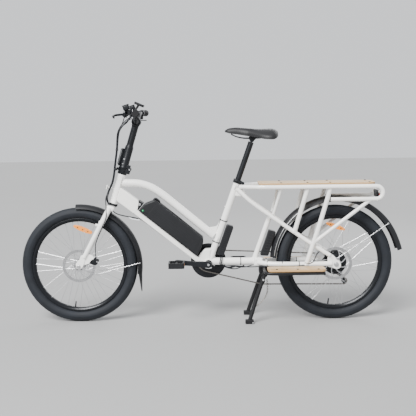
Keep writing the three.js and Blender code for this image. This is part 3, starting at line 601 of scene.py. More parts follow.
def head_tube():
    shape = Shape("frame_paint")
    profile = [(16.5, -82), (23.4, -82), (24.2, -80.5), (24.2, -73), (22, -68), (22, 68), (24.2, 73),
               (24.2, 80.5), (23.4, 82), (16.5, 82)]
    spin(shape, profile, steer(0), steer.up)
    bar(shape, steer(-8, -20), steer(-8, -57), 6)
    bead(shape, steer(-8, -20), -steer.back, 6, steer(0), steer.up, HEAD_RADIUS, thick=1.6)
    box(shape, steer(-8, -58), (34, 24, 6), u=Y, v=steer.up, w=steer.back, corner=6, edge=2)
    make("head_tube_shell", shape, "head_tube")
    screws = Shape("black_alloy")
    for side in SIDES:
        bolt(screws, steer(-8, -61, side * 10), -steer.back, 3.4, 2.4)
    make("head_bracket_screws", screws, body="frame")
    rings = Shape("black_alloy")
    spin(rings, [(15, -97), (21, -97), (23.5, -92), (23.5, -83), (22, -82.2), (15, -82.2)], steer(0),
         steer.up)
    make("headset_lower", rings, body="steering")


TOP_TUBE = [(-496, 0, 762), (-440, 0, 760), (-387, 0, 756), (-332, 0, 739), (-278, 0, 707), (-196, 0, 641),
            (-60, 0, 527), (12.5, 0, 467.2)]


def top_tube():
    shape = Shape("frame_paint")
    line = curve(TOP_TUBE, 10)
    tube(shape, line, TOP_RADIUS, 32)
    bead(shape, line[0], line[1] - line[0], TOP_RADIUS, steer(0), steer.up, HEAD_RADIUS)
    bead(shape, line[-1], line[-2] - line[-1], TOP_RADIUS, seat(0), seat.up, SEAT_RADIUS + 0.6)
    # the web that braces the seat tube above the joint
    corner = [seat(178, -17), seat(262, -17), seat(214, -26), seat(196, -62), seat(176, -70),
              seat(160, -30)]
    prism(shape, soften(flat_points(corner), 8), 8, edge=2)
    make("top_tube_pipe", shape, "top_tube")
    studs = Shape("black_alloy")
    for x, z in ((-172, 636.5), (-122, 594.5)):
        slope = Vector((math.sin(TRAY_SLOPE), 0, math.cos(TRAY_SLOPE)))
        bolt(studs, mid(x, z), slope, 6, 5)
    make("top_tube_studs", studs, body="frame")


def down_tube():
    shape = Shape("frame_paint")
    front = [on_tray(-150, 38), on_tray(-28, 42), on_tray(-2, 28), on_tray(2, -30), on_tray(-122, -33)]
    prism(shape, soften(flat_points(front), 12), 56, edge=6)
    tail = [on_tray(-40, -1), on_tray(450, 0), on_tray(450, -28), on_tray(-40, -29)]
    prism(shape, soften(flat_points(tail), 9), 55.2, edge=6)
    # the weld along the side of the head tube
    for side in SIDES:
        line = [steer(-74 + 14 * k, 8, side * 27) for k in range(11)]
        tube(shape, line, [2.2 * (1 + 0.2 * math.sin(2.1 * k)) for k in range(11)], 8)
    make("down_tube_box", shape, "down_tube")
    guide = Shape("clear_lens")
    tube(guide, curve([mid(-452, 579, -14), mid(-430, 566, -14), mid(-402, 560, -14), mid(-388, 558, -12)]),
         3, 10)
    make("cable_exit", guide, body="frame")


def seat_tube():
    shape = Shape("frame_paint")
    tube(shape, [seat(12), seat(250), seat(474)], SEAT_RADIUS, 32)
    bead(shape, seat(12), seat.up, SEAT_RADIUS, CRANK, Y, SHELL_RADIUS)
    # the plate that carries the rails and the long stays
    plate = [seat(446, 6), seat(452, 40), seat(440, 66), seat(412, 54), seat(398, 6)]
    prism(shape, soften(flat_points(plate), 9), 30, edge=9)
    make("seat_tube_pipe", shape, "seat_tube")
    collar = Shape("black_alloy")
    profile = [(16, 0), (22.6, 0), (23.4, 1), (23.4, 19), (22.6, 20), (16, 20)]
    spin(collar, profile, seat(472), seat.up)
    box(collar, seat(482, 28), (18, 22, 16), u=seat.back, v=Y, w=seat.up, corner=5)
    make("seat_collar", collar, body="frame")
    ties = Shape("black_plastic")
    for along, out in ((256, 18.4), (132, 18.4)):
        spin(ties, [(out, -2.4), (out + 1.8, -2.4), (out + 1.8, 2.4), (out, 2.4)], seat(along), seat.up)
        box(ties, seat(along, -out - 2, -4), (6, 7, 6), u=seat.back, v=Y, w=seat.up, corner=1, edge=0.6)
    make("seat_tube_ties", ties, body="frame")
    stud = Shape("steel")
    bolt(stud, seat(330, -18), -seat.back, 4.4, 3.5)
    bolt(stud, seat(262, 18), seat.back, 4.4, 3.5)
    make("seat_tube_studs", stud, body="frame")


def base_tube():
    shape = Shape("frame_paint")
    spin(shape, [(14, -36.5), (20.4, -36.5), (21, -35.8), (21, 35.8), (20.4, 36.5), (14, 36.5)], CRANK)
    lower = [mid(-10, 326), mid(120, 324.5), mid(250, 323)]
    tube(shape, lower, LOWER_RADIUS, 32)
    bead(shape, lower[0], X, LOWER_RADIUS, CRANK, Y, SHELL_RADIUS)
    web = [on_tray(414, 1), mid(-38, 397), mid(2, 397), mid(-10, 330), mid(-20, 306), mid(-58, 306),
           on_tray(446, -20)]
    prism(shape, soften(flat_points(web), 8), 40, edge=7)
    box(shape, YOKE, (48, 46, 62), corner=10, edge=10)
    tube(shape, [mid(232, 335), STRUT_TOP], 13.5, 28)
    bead(shape, mid(232, 335), STRUT_TOP - mid(232, 335), 13.5, mid(0, 323), X, LOWER_RADIUS + 1)
    tube(shape, [STRUT_TOP - Y * 44, STRUT_TOP + Y * 44], 9, 20)
    shape.paint = "black_paint"
    box(shape, STAND + Z * 20, (54, 48, 60), corner=8, edge=5)
    make("base_tube_pipe", shape, "base_tube")
    cups = Shape("black_alloy")
    for side in SIDES:
        profile = [(12.6, 36.6), (19.5, 36.6), (20.2, 37.4), (20.2, 41), (18.6, 42), (12.6, 42)]
        spin(cups, [(r, side * h) for r, h in profile], CRANK, Y, 24)
    make("bearing_cups", cups, body="frame")


def chainstay_line(side):
    return curve([(252, side * 24, 321), (290, side * 46, 318), (345, side * 62, 317),
                  (480, side * 70, 317), (645, side * 78, 319)], 8)


def stay_line(side):
    return curve([(142, side * 17, 722), (211, side * 30, 657), (344, side * 45, 561),
                  (528, side * 65, 433), (636, side * 78, 364)], 8)


def chainstays():
    shape = Shape("frame_paint")
    plate = [(-46, -14), (-20, -17), (4, -27), (22, -20), (27, -4), (20, 16), (2, 30), (-16, 50), (-32, 56),
             (-46, 42)]
    for side in SIDES:
        tube(shape, chainstay_line(side), CHAINSTAY_RADIUS, 28)
        outline = soften([(REAR.x + a, REAR.z + b) for a, b in plate], 9)
        prism(shape, outline, 8, (0, side * 74, 0), edge=1.8)
        bolt(shape, REAR + Vector((-26, side * 78, 36)), Y * side, 5.5, 3.5)
    tube(shape, [mid(300, 318, -52), mid(300, 318, 52)], 9, 20)
    make("chainstay_pipes", shape, "chainstays")


def upper_stays():
    shape = Shape("frame_paint")
    for side in SIDES:
        line = stay_line(side)
        tube(shape, line, STAY_RADIUS, 28)
        bead(shape, line[0], line[1] - line[0], STAY_RADIUS, seat(0), seat.up, SEAT_RADIUS)
    tube(shape, [mid(150, 716, -20), mid(150, 716, 20)], 10, 20)
    make("upper_stay_pipes", shape, "upper_stays")


def rack_rail(side):
    y = side * RAIL_Y
    centre_z, bend = (RAIL_TOP + RAIL_LOW) / 2, (RAIL_TOP - RAIL_LOW) / 2
    loop_x = 875
    front = curve([(156, side * 17, 733), (200, side * 62, 736), (262, side * 97, RAIL_TOP),
                   (330, y, RAIL_TOP), (600, y, RAIL_TOP), (loop_x, y, RAIL_TOP)], 8)
    turn = [math.radians(90 - 10 * k) for k in range(1, 18)]
    loop = [mid(loop_x + bend * math.cos(t), centre_z + bend * math.sin(t), y) for t in turn]
    back = [mid(x, RAIL_LOW, y) for x in (loop_x, 760, 634)]
    shape = Shape("frame_paint")
    tube(shape, [*front, *loop, *back], RAIL_RADIUS, 28)
    bead(shape, front[0], front[1] - front[0], RAIL_RADIUS, seat(0), seat.up, SEAT_RADIUS)
    if side < 0:
        tube(shape, [mid(905, 700, -RAIL_Y), mid(905, 700, RAIL_Y)], 8, 20)
    name = "left" if side < 0 else "right"
    make(f"rack_rail_pipe_{name}", shape, f"rack_rail_{name}")


def arch(name, foot, head, radius, foot_inside):
    """One hoop of the rack: a leg on each side up to the rails and the bar across under the deck."""
    shape = Shape("frame_paint")
    for side in SIDES:
        low, high = Vector((foot[0], side * foot[1], foot[2])), Vector((head[0], side * head[1], head[2]))
        tube(shape, [low, (low + high) / 2, high], radius, 20)
        stay = stay_line(side)
        near = min(range(1, len(stay) - 1), key=lambda i: (stay[i] - low).length)
        if foot_inside:
            bead(shape, low, high - low, radius, stay[near], stay[near + 1] - stay[near - 1], STAY_RADIUS)
        bead(shape, high, low - high, radius, mid(0, RAIL_TOP, side * RAIL_Y), X, RAIL_RADIUS)
    tube(shape, [mid(head[0], 735, -98), mid(head[0], 735, 98)], 8, 20)
    make(f"{name}_pipes", shape, name)


def rear_arch():
    shape = Shape("frame_paint")
    for side in SIDES:
        leg = curve([(510, side * 80, 326), (545, side * 86, 435), (592, side * 91, 585),
                     (636, side * 95, 738)], 6)
        tube(shape, leg, 12, 24)
        bead(shape, leg[0], leg[1] - leg[0], 12, chainstay_line(side)[-8], X, CHAINSTAY_RADIUS)
        bead(shape, leg[-1], leg[-2] - leg[-1], 12, mid(0, RAIL_TOP, side * RAIL_Y), X, RAIL_RADIUS)
        brace = [mid(552, 440, side * 86), mid(842, 663, side * 100)]
        tube(shape, brace, 10, 24)
        bead(shape, brace[0], brace[1] - brace[0], 10, leg[6], leg[7] - leg[5], 12)
        bead(shape, brace[1], brace[0] - brace[1], 10, mid(0, RAIL_LOW, side * RAIL_Y), X, RAIL_RADIUS)
    tube(shape, [mid(636, 735, -98), mid(636, 735, 98)], 8, 20)
    make("rear_arch_pipes", shape, "rear_arch")


def boards():
    low, high = reach("deck")
    shape = Shape("plywood")
    rear_cut = 30
    corners = [(low.x, low.y), (high.x - rear_cut, low.y), (high.x, low.y + rear_cut),
               (high.x, high.y - rear_cut), (high.x - rear_cut, high.y), (low.x, high.y)]
    prism(shape, soften(corners, 14, 6), high.z - low.z, (0, 0, (low.z + high.z) / 2), u=X, v=Y, w=Z,
          edge=2.2)
    make("deck_board", shape, "deck")
    screws = Shape("black_alloy")
    for x in (374, 515, 636, 846):
        for side in SIDES:
            bolt(screws, Vector((x, side * 62, high.z)), Z, 6, 2.6)
    make("deck_screws", screws, body="frame")
    for side, name in ((-1, "left"), (1, "right")):
        low, high = reach(f"running_board_{name}")
        inner, outer = (high.y, low.y) if side < 0 else (low.y, high.y)
        board = Shape("plywood")
        flat = [(low.x, inner), (high.x, inner), (high.x, outer), (low.x, outer)]
        outline = soften(flat, 26, 7)
        prism(board, outline, high.z - low.z, (0, 0, (low.z + high.z) / 2), u=X, v=Y, w=Z, edge=2.2)
        make(f"running_board_{name}_panel", board, f"running_board_{name}")
        fixings = Shape("black_alloy")
        for x in (340, 450, 560):
            bolt(fixings, Vector((x, side * 186, high.z)), Z, 6, 2.6)
        make(f"running_board_{name}_screws", fixings, body="frame")


def board_support():
    shape = Shape("black_paint")
    half = [(282, 0, 292), (282, 60, 292), (282, 150, 290), (290, 176, 289), (312, 186, 288.5),
            (450, 186, 288.5), (596, 186, 288.5)]
    left = [Vector((x, -y, z)) for x, y, z in half[:0:-1]]
    tube(shape, curve([*left, *half], 8), 8.5, 24)
    make("board_support_pipe", shape, "board_support")


# ---------------------------------------------------------------- electrics
def battery():
    low, high = reach("battery")
    width = high.y - low.y
    shape = Shape("black_plastic")
    outline = [on_tray(6, 0.6), on_tray(9, 49), on_tray(40, 101), on_tray(372, 99), on_tray(390, 79),
               on_tray(409, 0.6)]
    prism(shape, soften(flat_points(outline), 7), width, edge=7)
    panel = [on_tray(58, 12), on_tray(58, 86), on_tray(364, 85), on_tray(378, 12)]
    prism(shape, soften(flat_points(panel), 8), width + 1.6, edge=0.8)
    for up in (34, 49, 64):
        prism(shape, soften(flat_points([on_tray(72, up), on_tray(72, up + 1.6), on_tray(356, up + 1.6),
                                         on_tray(356, up)]), 0.7, 2), width + 2.8, edge=0.6)
    for side in SIDES:
        tube(shape, [on_tray(44, 101, side * 20), on_tray(200, 101.2, side * 20),
                     on_tray(368, 99, side * 20)], 2.2, 10)
    handle = curve([on_tray(36, 92), on_tray(38, 104), on_tray(52, 107), on_tray(66, 104), on_tray(68, 94)],
                   6)
    tube(shape, handle, 6, 16, flat=2.2)
    make("battery_case", shape, "battery")
    light = Shape("green_light")
    for y in (low.y, high.y):
        bolt(light, on_tray(24, 16, y), Y * (1 if y > 0 else -1), 4.2, 1.2, socket=False)
    make("battery_light", light, body="battery_pack")


def battery_dock():
    shape = Shape("black_plastic")
    outline = [on_tray(-26.6, 44), on_tray(0, 47), on_tray(4.6, 46), on_tray(3.6, 2), on_tray(-2, 1)]
    prism(shape, soften(flat_points(outline), 2), 60, edge=3)
    make("battery_dock_block", shape, "battery_dock")
    lock = Shape("steel")
    spin(lock, [(0, 0), (7.5, 0), (7.5, -3), (6.4, -4), (2.2, -4), (2.2, -2.4), (0, -2.4)],
         on_tray(-10, 30, -30), Y, 24)
    make("battery_lock", lock, body="frame")


def ribbed_box(name, corners, width, rib_from, rib_to, ribs):
    """A moulded box with cooling ribs across its sides; the ribs run between two lines of the outline."""
    shape = Shape("black_plastic")
    prism(shape, soften(flat_points(corners), 7), width, edge=5)
    for k in range(ribs):
        share = (k + 0.5) / ribs
        start, end = rib_from[0].lerp(rib_from[1], share), rib_to[0].lerp(rib_to[1], share)
        tube(shape, [start - Y * width / 2, end - Y * width / 2], 1.4, 8)
        tube(shape, [start + Y * width / 2, end + Y * width / 2], 1.4, 8)
    make(f"{name}_case", shape, name)


def boxes():
    ribbed_box("controller_box", [seat(68, 22), seat(238, 22), seat(244, 30), seat(244, 58), seat(236, 62),
                                  seat(74, 62)],
               44, (seat(86, 28), seat(226, 28)), (seat(86, 56), seat(226, 56)), 13)
    ribbed_box("junction_box", [mid(264, 357), mid(308, 354), mid(351, 486), mid(312, 498)], 46,
               (mid(276, 368), mid(316, 484)), (mid(303, 364), mid(342, 478)), 8)


def tail_light():
    low, high = reach("tail_light")
    centre = middle("tail_light")
    shape = Shape("black_plastic")
    box(shape, centre - X * 4, (high.y - low.y, high.z - low.z, 13), u=Y, v=Z, w=X, corner=12, edge=2)
    for side in SIDES:
        box(shape, centre + Vector((-6, side * 30, 6)), (10, 14, 8), corner=3)
    shape.paint = "red_lens"
    box(shape, centre + X * 5.4, (high.y - low.y - 4, high.z - low.z - 4, 9), u=Y, v=Z, w=X, corner=11,
        edge=4)
    shape.paint = "clear_lens"
    spin(shape, [(0, 12), (8, 12), (10, 9.6), (10, 6), (0, 6)], centre, X, 28)
    make("tail_light_unit", shape, "tail_light")


def seat_parts():
    shape = Shape("black_alloy")
    tube(shape, [seat(278), seat(480), seat(706)], 15.5, 32)
    make_post_head(shape)
    make("seatpost_tube", shape, "seatpost")
    lever = Shape("black_alloy")
    tube(lever, [seat(482, 33.6, -27), seat(482, 33.6, -12)], 5, 16)
    blade = curve([seat(482, 33.6, -27), seat(484, 14, -30), seat(486, -8, -28), seat(486, -22, -24)], 8)
    tube(lever, blade, [4.2 + 0.8 * math.sin(math.pi * i / (len(blade) - 1)) for i in range(len(blade))],
         14, flat=0.7)
    make("seat_lever_blade", lever, "seat_lever")


def make_post_head(shape):
    """The post's top: a cradle, two side plates that grip the rails, and its bolt."""
    head = seat(718)
    tube(shape, [head - Y * 24, head + Y * 24], 12, 24)
    for side in SIDES:
        box(shape, head + Vector((2, side * 22, 9)), (34, 18, 9), u=X, v=Z, w=Y, corner=6, edge=1.5)
        bolt(shape, head + Vector((2, side * 26, 6)), Y * side, 5, 4)


# ---------------------------------------------------------------- saddle
SADDLE_PLAN = [(78, 5), (84, 15), (100, 21), (130, 24), (165, 29), (200, 40), (235, 66), (268, 93),
               (300, 108), (328, 110), (348, 96), (358, 70), (361, 40)]
SADDLE_TOP = [(78, 1033), (84, 1042), (100, 1049), (134, 1053), (200, 1050), (256, 1045), (300, 1047),
              (330, 1048), (348, 1043), (361, 1030)]
SADDLE_SKIRT = [(78, 1027), (100, 1019), (150, 1012), (184, 1006), (240, 997), (289, 988), (330, 986),
                (350, 992), (361, 1006)]


def along_table(table, x):
    """Straight-line reading of a table of (x, value) pairs."""
    for (x0, a), (x1, b) in zip(table, table[1:]):
        if x <= x1:
            return a + (b - a) * max(0.0, (x - x0) / (x1 - x0))
    return table[-1][1]


def smooth_read(table, x, spread=7):
    return sum(along_table(table, x + k * spread) for k in (-1, -0.5, 0, 0.5, 1)) / 5


def saddle():
    first, last, count, around = 79.0, 360.0, 40, 36
    shape = Shape("saddle_leather")
    rings = []
    for i in range(count + 1):
        x = first + (last - first) * (1 - math.cos(math.pi * i / count)) / 2
        half = smooth_read(SADDLE_PLAN, x)
        top, skirt = smooth_read(SADDLE_TOP, x), smooth_read(SADDLE_SKIRT, x)
        wing = min(1.0, half / 110)
        ring = []
        for k in range(around):
            turn = 2 * math.pi * k / around
            across, rise = math.cos(turn), math.sin(turn)
            y = half * math.copysign(abs(across) ** 0.62, across)
            if rise >= 0:
                crown = 1 - (0.30 + 0.2 * wing) * abs(y / max(half, 1)) ** 2.4
                channel = 4.5 * math.exp(-(y / 9) ** 2) * min(1.0, max(0.0, (x - 150) / 60))
                shoulder = rise ** 0.42
                z = skirt + (top - skirt) * shoulder * crown - channel * shoulder
            else:
                z = skirt + (9 + 5 * wing) * (-rise) ** 0.6
            ring.append(Vector((x, y, z)))
        rings.append(ring)
    nose = sum(rings[0], Vector()) / around
    tail = sum(rings[-1], Vector()) / around
    shape.skin([[nose - X * 1.5], *rings, [tail + X * 1.5]])
    cushion = make("saddle_cushion", shape, "saddle", sharp=80)
    finer = cushion.modifiers.new("finer", "SUBSURF")
    finer.levels = finer.render_levels = 1
    seams = Shape("saddle_leather")
    for side in SIDES:
        line = []
        for i in range(49):
            x = 92 + (350 - 92) * i / 48
            line.append(Vector((x, side * (smooth_read(SADDLE_PLAN, x) + 0.4),
                                smooth_read(SADDLE_SKIRT, x) + 5)))
        tube(seams, line, 1.3, 8)
    make("saddle_piping", seams, body="seat_post")
    rails = Shape("black_alloy")
    for side in SIDES:
        line = curve([(112, side * 10, 1016), (140, side * 20, 1003), (176, side * 24, 995),
                      (222, side * 24, 994), (272, side * 26, 996), (300, side * 36, 1006),
                      (318, side * 42, 1014)], 8)
        tube(rails, line, 3.5, 14)
    make("saddle_rails", rails, body="seat_post")


# ---------------------------------------------------------------- wheels
RIM_OUTER, RIM_INNER, RIM_HALF = 258, 238, 17.5
TYRE_RADIUS, TYRE_HALF = 315, 30.5
SPOKES_PER_SIDE = 18


def tyre(end):
    """A round casing with a low chevron tread, sidewall lines and beads tucked into the rim."""
    axle = FRONT if end == "front" else REAR
    around, across, tread = 400, 44, 1.5
    middle_radius = TYRE_RADIUS - TYRE_HALF
    foot = math.acos((middle_radius - RIM_OUTER + 2) / TYRE_HALF)
    shape = Shape("tyre_rubber")
    rings = []
    for i in range(around):
        turn = 2 * math.pi * i / around
        outward = X * math.cos(turn) + Z * math.sin(turn)
        ring = []
        for k in range(across):
            angle = -math.pi + foot + (2 * math.pi - 2 * foot) * k / (across - 1)
            lean = abs(math.degrees(angle))
            radius = TYRE_HALF
            if lean < 58:
                phase = (i / 8 + (lean / 58) * 1.4 + (0.5 if angle > 0 else 0)) % 1.0
                groove = phase < 0.25 or 24 < lean < 28 or lean > 54
                radius -= tread if groove and lean > 7 else 0.1
            else:
                radius -= tread
                if 84 < lean < 88 or 116 < lean < 121:
                    radius += 0.9
            away, sideways = radius * math.cos(angle), radius * math.sin(angle)
            ring.append(axle + outward * (middle_radius + away) + Y * sideways)
        rings.append(ring)
    shape.skin(rings, loop=True)
    make(f"{end}_tyre_casing", shape, f"{end}_tyre", sharp=50)


# where each spoke reflector sits round its wheel, and its tilt from the tangent, in degrees
REFLECTOR_ANGLES = {"front": (84, -17), "rear": (88, -19)}
REFLECTOR_FROM_AXLE = 196


def wheel(end):
    """Rim with spokes, nipples and valve; the hub differs between the two ends."""
    axle = FRONT if end == "front" else REAR
    front = end == "front"
    flange, flange_y, lever = (27, 27, 25) if front else (62, 24, 55)
    rim = Shape("rim_black")
    spin(rim, [(RIM_INNER + 3, -6), (RIM_INNER + 1, -9), (RIM_INNER + 9, -RIM_HALF + 1),
               (RIM_OUTER - 3, -RIM_HALF), (RIM_OUTER, -RIM_HALF + 1), (RIM_OUTER - 1, -RIM_HALF + 4),
               (RIM_OUTER - 9, -8), (RIM_OUTER - 9, 8), (RIM_OUTER - 1, RIM_HALF - 4),
               (RIM_OUTER, RIM_HALF - 1), (RIM_OUTER - 3, RIM_HALF), (RIM_INNER + 9, RIM_HALF - 1),
               (RIM_INNER + 1, 9), (RIM_INNER + 3, 6)], axle, Y, 120)
    hub(rim, axle, front)
    swing = math.acos(lever / RIM_INNER) - math.acos(lever / flange)
    rim.paint = "steel"
    for i in range(SPOKES_PER_SIDE):
        for side in SIDES:
            start = 2 * math.pi / SPOKES_PER_SIDE * (i + (0.5 if side > 0 else 0))
            end_turn = start + (swing if i % 2 else -swing)
            weave = 2.2 if i % 2 else -2.2
            near = axle + ray(start, flange * 0.93) + Y * side * (flange_y + weave)
            far = axle + ray(end_turn, RIM_INNER + 3) + Y * side * 4
            tube(rim, [near, far], 1.05, 6, edge=0.1)
            inward = (near - far).normalized()
            bar(rim, far - inward * 3, far + inward * 11, 2.3, sides=8)
            spin(rim, [(0, -1.5), (2.2, -1.5), (2.2, 1.5), (0, 1.5)], near, Y, 8)
    turn = math.radians(262)
    outward = ray(turn)
    rim.paint = "black_plastic"
    bar(rim, axle + outward * (RIM_INNER - 32), axle + outward * RIM_INNER, 3.4, 4.0, sides=12)
    make(f"{end}_wheel_built", rim, f"{end}_wheel")
    spoke_reflector(end, axle)


def hub(shape, axle, front):
    shape.paint = "black_alloy"
    if front:
        profile = [(8, -33), (13, -33), (14, -32), (14, -30), (28, -29.2), (29, -28.4), (29, -25.6),
                   (28, -25), (17, -19), (15, -14), (15, 14), (17, 19), (28, 25), (29, 25.6), (29, 28.4),
                   (28, 29.2), (14, 30), (14, 35), (13, 36), (8, 36)]
        spin(shape, profile, axle, Y, 40)
        return
    profile = [(10, -44), (23, -44), (24.5, -43), (26, -38), (46, -34.6), (50, -32), (52, -28), (63, -27),
               (64, -26), (64, -22), (63, -21), (56, -18), (55, -15), (55, 15), (56, 18), (63, 21),
               (64, 22), (64, 26), (63, 27), (52, 28), (44, 32), (30, 33.5), (10, 33.5)]
    spin(shape, profile, axle, Y, 64)
    for k in range(9):
        turn = 2 * math.pi * k / 9
        bolt(shape, axle + ray(turn, 40) - Y * 34.4, -Y, 3, 2.2)


def spoke_reflector(end, axle):
    """The long orange reflector clipped between the spokes."""
    turn, tilt = (math.radians(angle) for angle in REFLECTOR_ANGLES[end])
    outward = ray(turn)
    along = mid(math.sin(turn + tilt), -math.cos(turn + tilt))
    across = mid(math.cos(turn + tilt), math.sin(turn + tilt))
    centre = axle + outward * REFLECTOR_FROM_AXLE
    shape = Shape("orange_lens")
    outline = [(-56, 0), (-50, 7), (-20, 12), (20, 12), (50, 7), (56, 0), (50, -7), (20, -12), (-20, -12),
               (-50, -7)]
    for side in SIDES:
        prism(shape, soften(outline, 6), 5, centre + Y * side * 7.4, u=along, v=across, w=Y, edge=1.4)
    shape.paint = "black_plastic"
    for shift in (-30, 0, 30):
        bar(shape, centre + along * shift - Y * 11, centre + along * shift + Y * 11, 3.2, sides=12)
    make(f"{end}_spoke_reflector", shape, body=f"{end}_wheel_set")


ARM_START, ARM_END = 24, 76.5


def rotor(end):
    """Brake disc: a track with two rows of holes, a wavy edge, swept arms and six bolts."""
    axle = FRONT if end == "front" else REAR
    disc_y = middle(f"{end}_rotor").y
    centre = Vector((axle.x, disc_y, axle.z))
    shape = Shape("rotor_steel")
    cells, thick = 48, 1.9
    rows = ((74.5, 82.2, 2.2), (82.2, 89.6, 2.2))
    for row, (inner, outer, hole) in enumerate(rows):
        for i in range(cells):
            t0, t1 = 2 * math.pi * i / cells, 2 * math.pi * (i + 1) / cells
            tm, rm = (t0 + t1) / 2, (inner + outer) / 2
            wave = 1.0 * math.sin(tm * 24) if row else 0.0

            def at(r, t):
                return (r * math.cos(t), r * math.sin(t))

            rim = [at(inner, t0), at(inner, tm), at(inner, t1), at(rm, t1), at(outer, t1),
                   at(outer + wave, tm), at(outer, t0), at(rm, t0)]
            eye = Vector(at(rm + (0.8 if i % 2 else -0.8), tm))
            first = math.atan2(rim[0][1] - eye[1], rim[0][0] - eye[0])
            turns = [first + math.pi / 4 * k for k in range(8)]
            ring = [eye + Vector((hole * math.cos(t), hole * math.sin(t))) for t in turns]
            washer(shape, rim, ring, thick, centre)
    arms = 8
    for k in range(arms):
        turn = 2 * math.pi * k / arms
        line = []
        for step in range(9):
            radius = ARM_START + (ARM_END - ARM_START) * step / 8
            bend = turn + 0.62 * (step / 8) ** 0.8
            line.append(centre + ray(bend, radius))
        tube(shape, line, [3.3 - 1.1 * math.sin(math.pi * step / 8) for step in range(9)], 10, flat=0.3,
             edge=0.3)
    carrier = round_outline(29, 48)
    washer(shape, carrier, round_outline(16.5, 48), thick, centre)
    shape.paint = "black_alloy"
    for k in range(6):
        turn = 2 * math.pi * k / 6
        bolt(shape, centre + ray(turn, 22) - Y, -Y, 3.6, 2.2)
    make(f"{end}_brake_disc", shape, f"{end}_rotor")


def axle_parts():
    shape = Shape("steel")
    bar(shape, FRONT - Y * 70, FRONT + Y * 70, 5.4, sides=24)
    for side in SIDES:
        spin(shape, [(5, 58.6 * side), (10.5, 58.6 * side), (10.5, 61 * side), (5, 61 * side)], FRONT, Y,
             28)
        nut(shape, FRONT + Y * side * 61, Y * side, 9.8, 8)
    make("front_axle_pin", shape, "front_axle")
    shape = Shape("steel")
    bar(shape, REAR - Y * 87, REAR + Y * 87, 6.8, sides=24)
    for side in SIDES:
        spin(shape, [(6, 78.4 * side), (13, 78.4 * side), (13, 80.6 * side), (6, 80.6 * side)], REAR, Y, 28)
        nut(shape, REAR + Y * side * 80, Y * side, 11.6, 8)
    make("rear_axle_pin", shape, "rear_axle")


def caliper(end, paint):
    """A two-part brake body over the disc with its pistons' caps, bolts and hose fitting."""
    centre = middle(f"{end}_caliper")
    lean = math.radians(20)
    u, v = mid(math.cos(lean), -math.sin(lean)), mid(math.sin(lean), math.cos(lean))
    shape = Shape(paint)
    outline = soften([(-25, -14), (-14, -18), (16, -18), (25, -8), (24, 12), (12, 18), (-18, 17), (-26, 6)],
                     6)
    for side in SIDES:
        prism(shape, outline, 9.6, centre + Y * side * 7.0, u=u, v=v, w=Y, edge=2.4)
        spin(shape, [(0, 0), (9, 0), (9, 1.8 * side), (7, 2.6 * side), (0, 2.6 * side)],
             centre + Y * side * 11.8, Y, 24)
    prism(shape, soften([(-26, 2), (26, 2), (26, 18), (-26, 18)], 4), 7, centre + v * 1, u=u, v=v, w=Y,
          edge=1)
    shape.paint = "steel"
    for shift in (-18, 18):
        bolt(shape, centre + u * shift + v * 6 - Y * 11.8, -Y, 4, 3.4)
    shape.paint = "black_alloy"
    bar(shape, centre + u * 4 + v * 17, centre + u * 4 + v * 27, 4.6, sides=16)
    make(f"{end}_caliper_body", shape, f"{end}_caliper")


# ---------------------------------------------------------------- fenders
def fender_band(shape, centre, radius, half_width, start, stop, skirt=22, flare=0.0):
    """A rolled channel about the wheel, with a curved crown and turned edges."""
    thick, steps = 2.0, 64
    section = []
    for k in range(13):
        across = -1 + 2 * k / 12
        section.append((half_width * across, radius - skirt * abs(across) ** 2.6))
    rings = []
    for i in range(steps + 1):
        turn = math.radians(start + (stop - start) * i / steps)
        lift = flare * max(0.0, 1 - i / 6) ** 2
        outward = ray(turn)
        outer = [centre + outward * (r + lift) + Y * y for y, r in section]
        narrow = 1 - thick / half_width
        inner = [centre + outward * (r + lift - thick) + Y * (y * narrow) for y, r in reversed(section)]
        rings.append(outer + inner)
    base = len(shape.points)
    shape.skin(rings)
    count = len(rings[0])
    for ring in (0, steps):
        for k in range(12):
            a = base + ring * count + k
            b = base + ring * count + (count - 1 - k)
            shape.faces.append((a, a + 1, b - 1, b))
            shape.paints.append(shape.paint)


def mud_flap(shape):
    """The soft tongue under the front fender: it narrows downwards and flattens out."""
    rows, columns = 14, 10
    front, back = [], []
    for i in range(rows + 1):
        share = i / rows
        half = 34 - 12 * share ** 2
        if share >= 0.9:
            half -= 90 * (share - 0.9)
        line = []
        for k in range(columns + 1):
            across = -1 + 2 * k / columns
            line.append(Vector((-380 - 3 * share - 20 * (1 - share) * across ** 2, half * across,
                                296 - 131 * share)))
        front.append(line)
        back.append([p - X * 2.6 for p in line])
    rings = [f + list(reversed(b)) for f, b in zip(front, back)]
    centres = [sum(ring, Vector()) / len(ring) for ring in (rings[0], rings[-1])]
    shape.skin([[centres[0]], *rings, [centres[1]]])


def stay_wires(name, points, body):
    """A pair of fender stays with a bolt at each end."""
    shape = Shape("steel")
    for side in SIDES:
        line = curve([(x, side * y, z) for x, y, z in points], 8)
        tube(shape, line, 2.2, 10)
        for end in (line[0], line[-1]):
            bolt(shape, end - Y * side * 1.5, Y * side, 5, 4)
    make(name, shape, body=body)


FRONT_FENDER_CENTRE, FRONT_FENDER_RADIUS = mid(-716, 309), 338
REAR_FENDER_CENTRE, REAR_FENDER_RADIUS = mid(678.93, 321), 361
# radius of the painted highlight line along the rear fender's side edges
FENDER_HIGHLIGHT_RADIUS = 341


